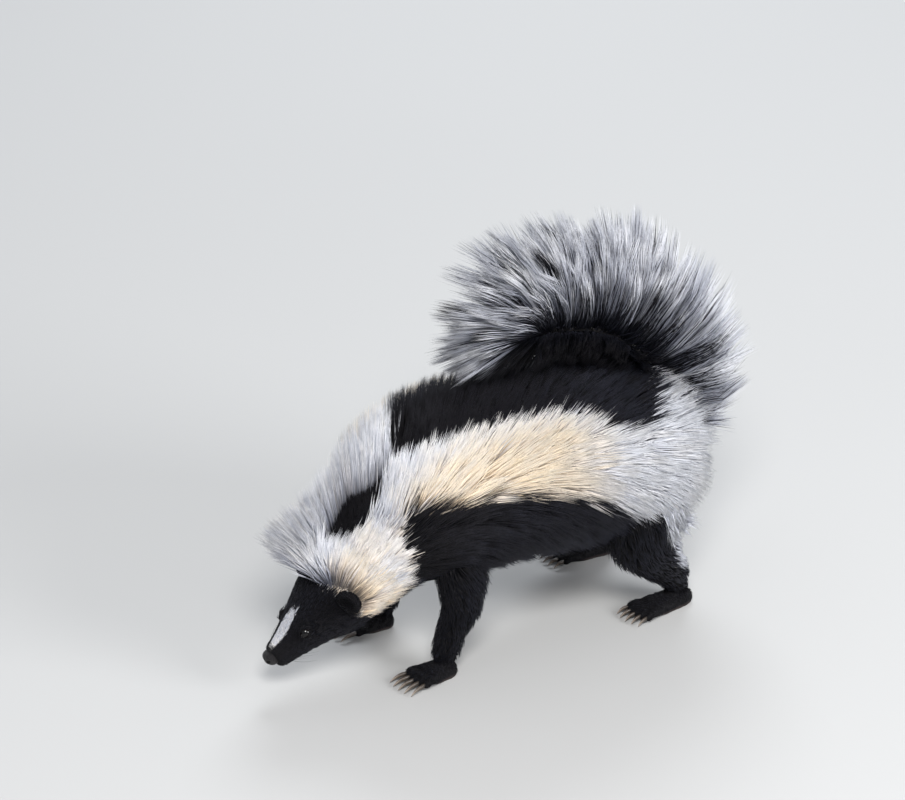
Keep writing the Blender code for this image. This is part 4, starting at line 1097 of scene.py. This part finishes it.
def body_tufts(start, end, count, rng, surface):
    """The tufts between two places on the body."""
    s, angle = scatter(BODY_TUBE, start * MM, end * MM, count, coat_weight)
    s = np.clip(s + rng.normal(0, 1.0 * MM, count), 44 * MM, BODY_TUBE.length - 0.5 * MM)
    angle = angle + rng.normal(0, 1.0, count)
    cheek = ease(np.abs(angle), *CHEEK_ANGLES) * (1 - ease(s, *CHEEK_END))
    shorter = CHEEK_SHORTER * np.maximum(cheek, flat_share(s, angle))
    layer = (1.03 - 0.5 * rng.random(count) ** 2.5) * (1 - shorter)
    paths, across, seen_s, seen_angle, stand = body_paths(s, angle, rng, layer, surface)
    leaders = nearest_leaders(paths[:, 0], count // BODY_CLUMP, rng)
    paths = clumped(paths, leaders, BODY_PULL, rng, 1.1 * MM)
    jitter = rng.normal(0, 1, count)
    group = jitter[leaders]
    by_tip = ease(s, *MARKED_BY_TIP)
    mark_s, mark_angle = s + (seen_s - s) * by_tip, angle + (seen_angle - angle) * by_tip
    mark = body_mark(s + group * MM, mark_s + (group * 1.5 + jitter) * MM, mark_angle + group * 1.5 + jitter)
    mark = sharpened(mark, 2.5)
    hollow = HOLLOW * (1 - mark) * (1 - ease(np.abs(angle), *HOLLOW_ANGLES))
    hollow = hollow * (1 - ease(s, *HOLLOW_END)) * ease(s, *HOLLOW_START)
    width = rng.uniform(0.6, 1.0, count) * MM * np.interp(s / MM, [60, 130], [0.88, 1.08])
    # Painted shade dims the standing hair of the crown, and painted light brightens the rump's hair; the rest
    # of the spread varies the tufts at random.
    painted_crown_shade, painted_rump_light = 0.3 * stand * (1 - ease(s, 105 * MM, 150 * MM)), 0.2 * ease(s, 205 * MM, 275 * MM)
    shade = np.clip(0.64 - painted_crown_shade + painted_rump_light + rng.normal(0, 0.18, count) + 0.13 * group, 0, 1)
    warm = np.clip(body_warmth(seen_s, seen_angle) * (1 - 0.8 * stand * (s < 110 * MM)) + 0.1 * group, 0, 1)
    place = patch_place((angle / 360 + 0.5) % 1, (s / MM - start) / (end - start))
    paths, widths = shortened(paths, 1 - hollow), np.outer(width, BODY_TAPER)
    return Tufts(paths, across, widths, BODY_FLAT, place, mark, shade, warm)


def body_coats(look):
    """The coat of the neck, mane and trunk."""
    surface = coat_surface()
    for number, (name, start, end, count, node, slot) in enumerate(BODY_COATS):
        rng = np.random.default_rng(SEED + number)
        tufts = body_tufts(start, end or BODY_TUBE.length / MM - 0.6, count, rng, surface)
        coat_piece(name, tufts, look, node, slot)


def tail_end(s):
    """1 at the very tip of the tail, where the hair points along it."""
    return ease(s, TAIL_TUBE.length - 11 * MM, TAIL_TUBE.length - 3 * MM)


def plume_weight(s, angle):
    return (0.35 + tail_coat(s, angle) / (40 * MM)) * (1 + 5 * tail_end(s))


def plume_paths(s, angle, rng):
    """The paths of the plume's tufts, with their marks and shades; the shades sit low, as painted shade over
    the plume.
    """
    count = len(s)
    aim = fan_angle(angle) + rng.normal(0, 3.5, count)
    inner = read(PLUME_SHARES, np.abs(turned(angle)))
    height = tail_coat(s, aim) * (1.04 - 0.4 * rng.random(count) ** 2.5) * inner
    bend, sway = rng.normal(6, 3, count) * MM, rng.normal(0, 3, count)
    ending, last = ease(s, TAIL_TUBE.length - 22 * MM, TAIL_TUBE.length), tail_end(s)
    aim = angle + (aim - angle) * (1 - last)
    height = np.maximum(height, INNER_HAIR * inner) * (1 - 0.72 * last * rng.uniform(0.6, 1.3, count))
    path = []
    for share in PLUME_KNOTS:
        bent = s + bend * share**2 + (ending * 0.75 + last * 0.12) * PLUME_TIP * share
        path.append(plume_point(bent, angle, height * share * (1 - 0.45 * ending), aim + sway * share**2))
    paths = np.stack(path, axis=1)
    leaders = nearest_leaders(paths[:, 1], count // PLUME_CLUMP, rng)
    paths = clumped(paths, leaders, PLUME_PULL, rng, 1.4 * MM)
    paths = shortened(paths, 1 - 0.16 * rng.random(count)[leaders])
    jitter = rng.normal(0, 1, count)
    mark = np.maximum(tail_mark(angle + jitter[leaders] * 2 + jitter), last)
    mark = mark * (rng.random(count)[leaders] > BLACK_CLUMPS) * (rng.random(count) > BLACK_TUFTS)
    # The plume's tones sit low, a grey of painted shade over the whole plume, with random spread by tuft and
    # clump.
    shade = np.clip(0.26 + rng.normal(0, 0.14, count) + 0.2 * rng.normal(0, 1, count)[leaders], 0, 1)
    return paths, sharpened(mark, 2.5), shade


def tail_coats(look):
    """The plume: long fine hair that fans out from the bones of the tail."""
    for number, (node, start, end, count) in enumerate(TAIL_COATS):
        end = end or TAIL_TUBE.length / MM - 1
        rng = np.random.default_rng(SEED + 20 + number)
        s, angle = scatter(TAIL_TUBE, start * MM, end * MM, count, plume_weight)
        paths, mark, shade = plume_paths(s, angle, rng)
        across = rng.normal(0, 1, (count, 3))
        widths = np.outer(rng.uniform(0.55, 0.9, count) * MM, PLUME_TAPER)
        place = patch_place((angle / 360 + 0.5) % 1, (s / MM - start) / (end - start))
        tufts = Tufts(paths, across, widths, PLUME_FLAT, place, mark, shade, 0 * mark)
        coat_piece("coat_" + node, tufts, look, node, "white_coat", dark_root=1)


def short_coat(name, node, skin, chosen, count, flow_of, length_of, lift, size, mark_of, place_of, seed, look,
               warm_of=None, dense_of=None):
    """Short fur on the chosen skin. flow_of, length_of, mark_of and place_of take (root, s, angle)."""
    rng = np.random.default_rng(seed)
    triangles = skin.triangles[chosen[skin.triangles].all(axis=1)]
    a, b, c = (skin.points[triangles[:, k]] for k in range(3))
    area = np.linalg.norm(np.cross(b - a, c - a), axis=1)
    if dense_of:
        area = area * dense_of(skin.s[triangles[:, 0]])
    picked = np.clip(np.searchsorted(np.cumsum(area) / area.sum(), even_places(count)[0]), 0, len(area) - 1)
    p, q = rng.random(count), rng.random(count)
    flip = p + q > 1
    p[flip], q[flip] = 1 - p[flip], 1 - q[flip]
    weights = np.stack([1 - p - q, p, q], -1)[..., None]
    corners = triangles[picked]
    root = (skin.points[corners] * weights).sum(axis=1)
    normal = unit((skin.normals[corners] * weights).sum(axis=1))
    s, angle = skin.s[corners[:, 0]], skin.angle[corners[:, 0]]
    flow = flow_of(root, s, angle)
    flow = unit(flow - normal * dot(flow, normal))
    aside = np.cross(normal, flow)
    flow = unit(flow + aside * rng.normal(0, 0.16, (count, 1)))
    length = length_of(root, s, angle) * rng.uniform(0.7, 1.15, count)
    steep = np.tan(np.radians(lift)) * rng.uniform(0.6, 1.3, (count, 1))
    start = root - normal * SHORT_DEPTH
    middle = start + unit(flow + normal * steep * 1.5) * (length * 0.5)[:, None]
    tip = middle + unit(flow + normal * steep * 0.4) * (length * 0.5)[:, None]
    leaders = nearest_leaders(root, max(count // SHORT_CLUMP, 1), rng)
    paths = clumped(np.stack([start, middle, tip], axis=1), leaders, SHORT_PULL, rng, 0.2 * MM)
    jitter = rng.normal(0, 1, count)
    mark = sharpened(mark_of(root, s + jitter * MM, angle + jitter), 3)
    width = np.minimum(size * rng.uniform(0.75, 1.25, count), length * FATTEST)
    shade = np.clip(0.6 + rng.normal(0, 0.22, count), 0, 1)
    warm = warm_of(s, angle) if warm_of else 0 * mark
    place, widths = place_of(root, s, angle), np.outer(width, SHORT_TAPER)
    tufts = Tufts(paths, aside, widths, SHORT_FLAT, place, mark, shade, warm)
    coat_piece(name, tufts, look, node, "black_coat")


def head_coat(skin, look):
    """The short coat of the face, cheeks and chin."""
    chosen = (skin.part == ON_BODY) & (skin.s < FACE_END) & (skin.s > 0.8 * MM)
    for side in SIDES:
        chosen &= np.linalg.norm(skin.points - eye_frame(side)[0], axis=1) > 5.0 * MM
    short_coat(
        "coat_face", "head", skin, chosen, FACE_TUFTS,
        lambda root, s, angle: BODY_TUBE.frame(s)[0] - UP * 0.15,
        lambda root, s, angle: read(FACE_LENGTHS, s / MM) * MM,
        13, 0.66 * MM,
        lambda root, s, angle: face_mark(s, angle, root[:, 1]),
        lambda root, s, angle: patch_place((angle / 360 + 0.5) % 1, s / FACE_END),
        SEED + 40, look, warm_of=body_warmth, dense_of=lambda s: read(FACE_DENSITY, s / MM),
    )


def ear_coats(skin, look):
    for number, (name, side) in enumerate((("ear_left", -1), ("ear_right", 1))):
        centre, axes = ear_frame(side)
        short_coat(
            "coat_" + name, name, skin, skin.part == ON_EARS + number, EAR_TUFTS,
            lambda root, s, angle: 0 * root + axes[2],
            lambda root, s, angle: 3.4 * MM + 0 * s,
            16, 0.7 * MM,
            lambda root, s, angle: 0 * s,
            lambda root, s, angle: patch_place(
                np.arctan2((root - centre) @ axes[0], (root - centre) @ axes[1]) / (2 * np.pi) + 0.5,
                (root - centre) @ axes[2] / (2.4 * EAR_RADII[2]) + 0.5),
            SEED + 50 + number, look,
        )


def leg_coats(skin, look):
    for number, (name, leg) in enumerate(LEGS.items()):
        part = ON_LEGS + number
        top, bottom = (24, 8) if name.startswith("hind") else (20, 8)
        lengths = [(20, bottom), (45, bottom * 1.4), (95, top)]
        chosen = (skin.part == part) & (skin.points[:, 2] < LEG_COAT_TOP)
        short_coat(
            "coat_leg_" + name, "leg_" + name, skin, chosen, LEG_TUFTS,
            lambda root, s, angle: leg.frame(s)[0] + np.array([0.35, 0, 0]),
            lambda root, s, angle: read(lengths, root[:, 2] / MM) * MM,
            20, 1.15 * MM,
            lambda root, s, angle: leg_mark(np.full(len(root), part), root),
            lambda root, s, angle: patch_place((angle / 360 + 0.5) % 1, s / leg.length),
            SEED + 60 + number, look,
        )


def paw_coats(skin, look):
    above_sole = (skin.points[:, 2] > 2.2 * MM) & (skin.normals[:, 2] > -0.5)
    for number, name in enumerate(LEGS):
        spec, side = foot_of(name)
        middle, forward, across = paw_frame(spec, side)
        chosen = (skin.part == ON_PAWS + number) & above_sole
        short_coat(
            "coat_paw_" + name, "paw_" + name, skin, chosen, PAW_TUFTS,
            lambda root, s, angle: 0 * root + forward - UP * 0.45,
            lambda root, s, angle: np.interp(root[:, 2] / MM, [2, 8, 18], [2.4, 3.8, 6.0]) * MM,
            14, 0.7 * MM,
            lambda root, s, angle: 0 * s,
            lambda root, s, angle: patch_place(
                np.arctan2((root - middle) @ across, root[:, 2] - 4 * MM) / (2 * np.pi) + 0.5,
                (root - middle) @ forward / (1.9 * spec.length) + 0.5),
            SEED + 70 + number, look,
        )


def claws(look):
    """Five curved claws on each foot."""
    fine = np.linspace(0, len(CLAW_CURVE) - 1, CLAW_RINGS)
    rows = (*zip(*CLAW_CURVE), CLAW_TAPER)
    runs, rises, taper = (np.interp(fine, np.arange(len(row)), row) for row in rows)
    for name in LEGS:
        spec, side = foot_of(name)
        shapes = []
        for _, aim, end, _ in toes(spec, side):
            path = end + aim * (spec.claw * runs)[:, None] + UP * (rises * MM)[:, None]
            shapes.append(sweep_shape(path, spec.claw_radius * taper, CLAW_SIDES, flatten=0.72))
        made = joined("claws_" + name, shapes, look)
        shares = list(np.repeat(np.linspace(0, 1, CLAW_RINGS), CLAW_SIDES)) + [0, 1]
        set_attribute(made.data, "tip", shares * len(shapes))
        points = get_points(made.data)
        points[:, 2] = np.maximum(points[:, 2], 0.1 * MM)
        set_points(made.data, points)
        settle(made, "black_coat", "paw_" + name)


def eyes(look):
    """The eyeballs, with a bulge over the iris."""
    for name, side in (("left", -1), ("right", 1)):
        centre, axes = eye_frame(side)
        points, faces = sphere_shape(64, 40)
        polar = np.arccos(np.clip(points[:, 2], -1, 1))
        bulge = 1 + 0.045 * (1 - ease(polar, 0.45, 0.95))
        local = points * bulge[:, None] * EYE_RADIUS * 0.985
        made = mesh_object("eyeball_" + name, centre + local @ np.array(axes), faces, look)
        set_attribute(made.data, "iris", np.clip(polar / 1.25, 0, 1))
        settle(made, "wet_black", "eye_" + name)


def nose(look):
    """The nose pad, with a groove down its middle and two comma-shaped nostrils."""
    centre, axes = nose_frame()
    points, faces = sphere_shape(120, 72)
    points = points[:, [2, 0, 1]]
    front, across, up = points.T
    radius = 1 - 0.06 * ease(front, 0.55, 1.0)
    groove = 0.075 * hump(across, 0, 0.07) * ease(front, 0.1, 0.6) * (1 - 0.5 * ease(up, 0, 0.8))
    cos, sin = NOSTRIL_TURN
    pits = np.zeros(len(points))
    for side in SIDES:
        sideways, rise = across * side - NOSTRIL_AT[0], up - NOSTRIL_AT[1]
        a = (sideways * cos + rise * sin) / NOSTRIL_SIZE[0]
        b = (-sideways * sin + rise * cos - 0.35 * sideways**2) / NOSTRIL_SIZE[1]
        pits += np.exp(-(a**2 + b**2) ** 1.2) * (front > 0)
        radius = radius + 0.03 * hump(np.hypot(a, b), 1.9, 0.5) * (front > 0)
    radius = radius - groove - NOSTRIL_DEPTH * pits
    local = points * radius[:, None] * np.array(NOSE_RADII)
    settle(mesh_object("nose_leather", centre + local @ np.array(axes), faces, look), "skin", "nose_pad")


def whiskers(look):
    """A few fine whiskers on each side of the muzzle."""
    rng = np.random.default_rng(SEED + 90)
    shapes = []
    t = np.linspace(0, 1, 10)[:, None]
    for side in SIDES:
        for number in range(9):
            at = np.array((7 + 2.2 * (number % 4) + rng.uniform(-0.5, 0.5)) * MM)
            angle = -side * (84 + 13 * (number // 4) + rng.uniform(-3, 3))
            outward, back = BODY_TUBE.normal(at, angle), BODY_TUBE.frame(at)[0]
            length, bow = rng.uniform(12, 21) * MM, rng.uniform(0.5, 0.9)
            root = BODY_TUBE.skin(at, angle) - outward * 0.5 * MM
            path = root + (outward * 0.75 + back * 0.45) * length * t
            path = path + (back * bow - outward * 0.3 - UP * 0.25) * length * 0.5 * t**2
            shapes.append(sweep_shape(path, 0.11 * MM * (1 - 0.85 * t[:, 0]), 6))
    settle(joined("whiskers", shapes, look), "black_coat")


def light(name, place, size, power, colour):
    data = bpy.data.lights.new(name, "AREA")
    data.shape, data.size, data.energy, data.color = "DISK", size, power, colour
    made = placed(name, data)
    made.location = place
    made.rotation_euler = (Vector((0, 0, 0.12)) - Vector(place)).to_track_quat("-Z", "Y").to_euler()


def studio():
    """The pale floor, soft lights and even surroundings."""
    corners = [(-6, -6, 0), (6, -6, 0), (6, 6, 0), (-6, 6, 0)]
    floor = mesh_object("floor", corners, [(0, 1, 2, 3)], floor_material())
    light("key", (-1.0, -1.7, 2.1), 1.0, 70, (1, 0.99, 0.97))
    light("back", (1.2, 1.5, 1.9), 1.1, 36, (0.92, 0.96, 1))
    light("fill", (1.3, -2.2, 1.2), 1.4, 56, (0.99, 0.99, 1))
    world = bpy.data.worlds.new("studio")
    bpy.context.scene.world = world
    world.use_nodes = True
    world.node_tree.nodes["Background"].inputs["Color"].default_value = (0.9, 0.93, 1, 1)
    world.node_tree.nodes["Background"].inputs["Strength"].default_value = 0.5
    bpy.context.scene.view_settings.view_transform = "Standard"


def camera():
    """The camera at the photo's angle."""
    a, e = CAMERA_AZIMUTH, CAMERA_ELEVATION
    right = np.array([math.cos(a), math.sin(a), 0])
    up = np.array([-math.sin(a) * math.sin(e), math.cos(a) * math.sin(e), math.cos(e)])
    back = np.array([math.sin(a) * math.cos(e), -math.cos(a) * math.cos(e), math.sin(e)])
    aim = (np.array(CAMERA_AIM) + right * CAMERA_ACROSS + up * CAMERA_RISE) * MM + SHIFT
    data = bpy.data.cameras.new("camera")
    data.lens, data.sensor_width = CAMERA_LENS, CAMERA_SENSOR
    data.clip_start, data.clip_end = 0.05, 50
    made = placed("camera", data)
    made.location = aim + back * CAMERA_DISTANCE
    made.rotation_euler = (math.pi / 2 - e, 0, a)
    bpy.context.scene.camera = made


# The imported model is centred; its eye says by how much it was moved from the tables' origin.
BODY_TUBE = Tube(BODY, NOSE_ROUND, RUMP_ROUND)
SHIFT = np.array(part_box("eye_left")[0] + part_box("eye_left")[1]) / 2 - eye_frame(-1)[0]
BODY_TUBE = Tube(BODY, NOSE_ROUND, RUMP_ROUND, SHIFT)
TAIL_TUBE = Tube(TAIL, 0.0, TAIL_ROUND, SHIFT)
LEG_ROWS = {"front_left": FORELEG, "front_right": mirrored(FORELEG),
            "hind_left": HINDLEG, "hind_right": mirrored(HINDLEG)}
LEGS = {name: Tube(rows, LEG_ROUND, shift=SHIFT) for name, rows in LEG_ROWS.items()}
BOX_LOW, BOX_HIGH = np.array(CAD_BOX[0]) + UP * 0.2 * MM, np.array(CAD_BOX[1])
FLESH = ["head", "neck", "torso", "tail_base", "tail_middle", "tail_tip", "ear_left", "ear_right"]
FLESH += [part + "_" + leg for part in ("leg", "paw") for leg in LEGS]

camera()
studio()
skin_mesh = build_skin(skin_material())
skin = locate(skin_mesh)
mark_skin(skin_mesh, skin)
fur = coat_material()
body_coats(fur)
tail_coats(fur)
head_coat(skin, fur)
ear_coats(skin, fur)
leg_coats(skin, fur)
paw_coats(skin, fur)
claws(claw_material())
eyes(eye_material())
nose(nose_material())
whiskers(fur)
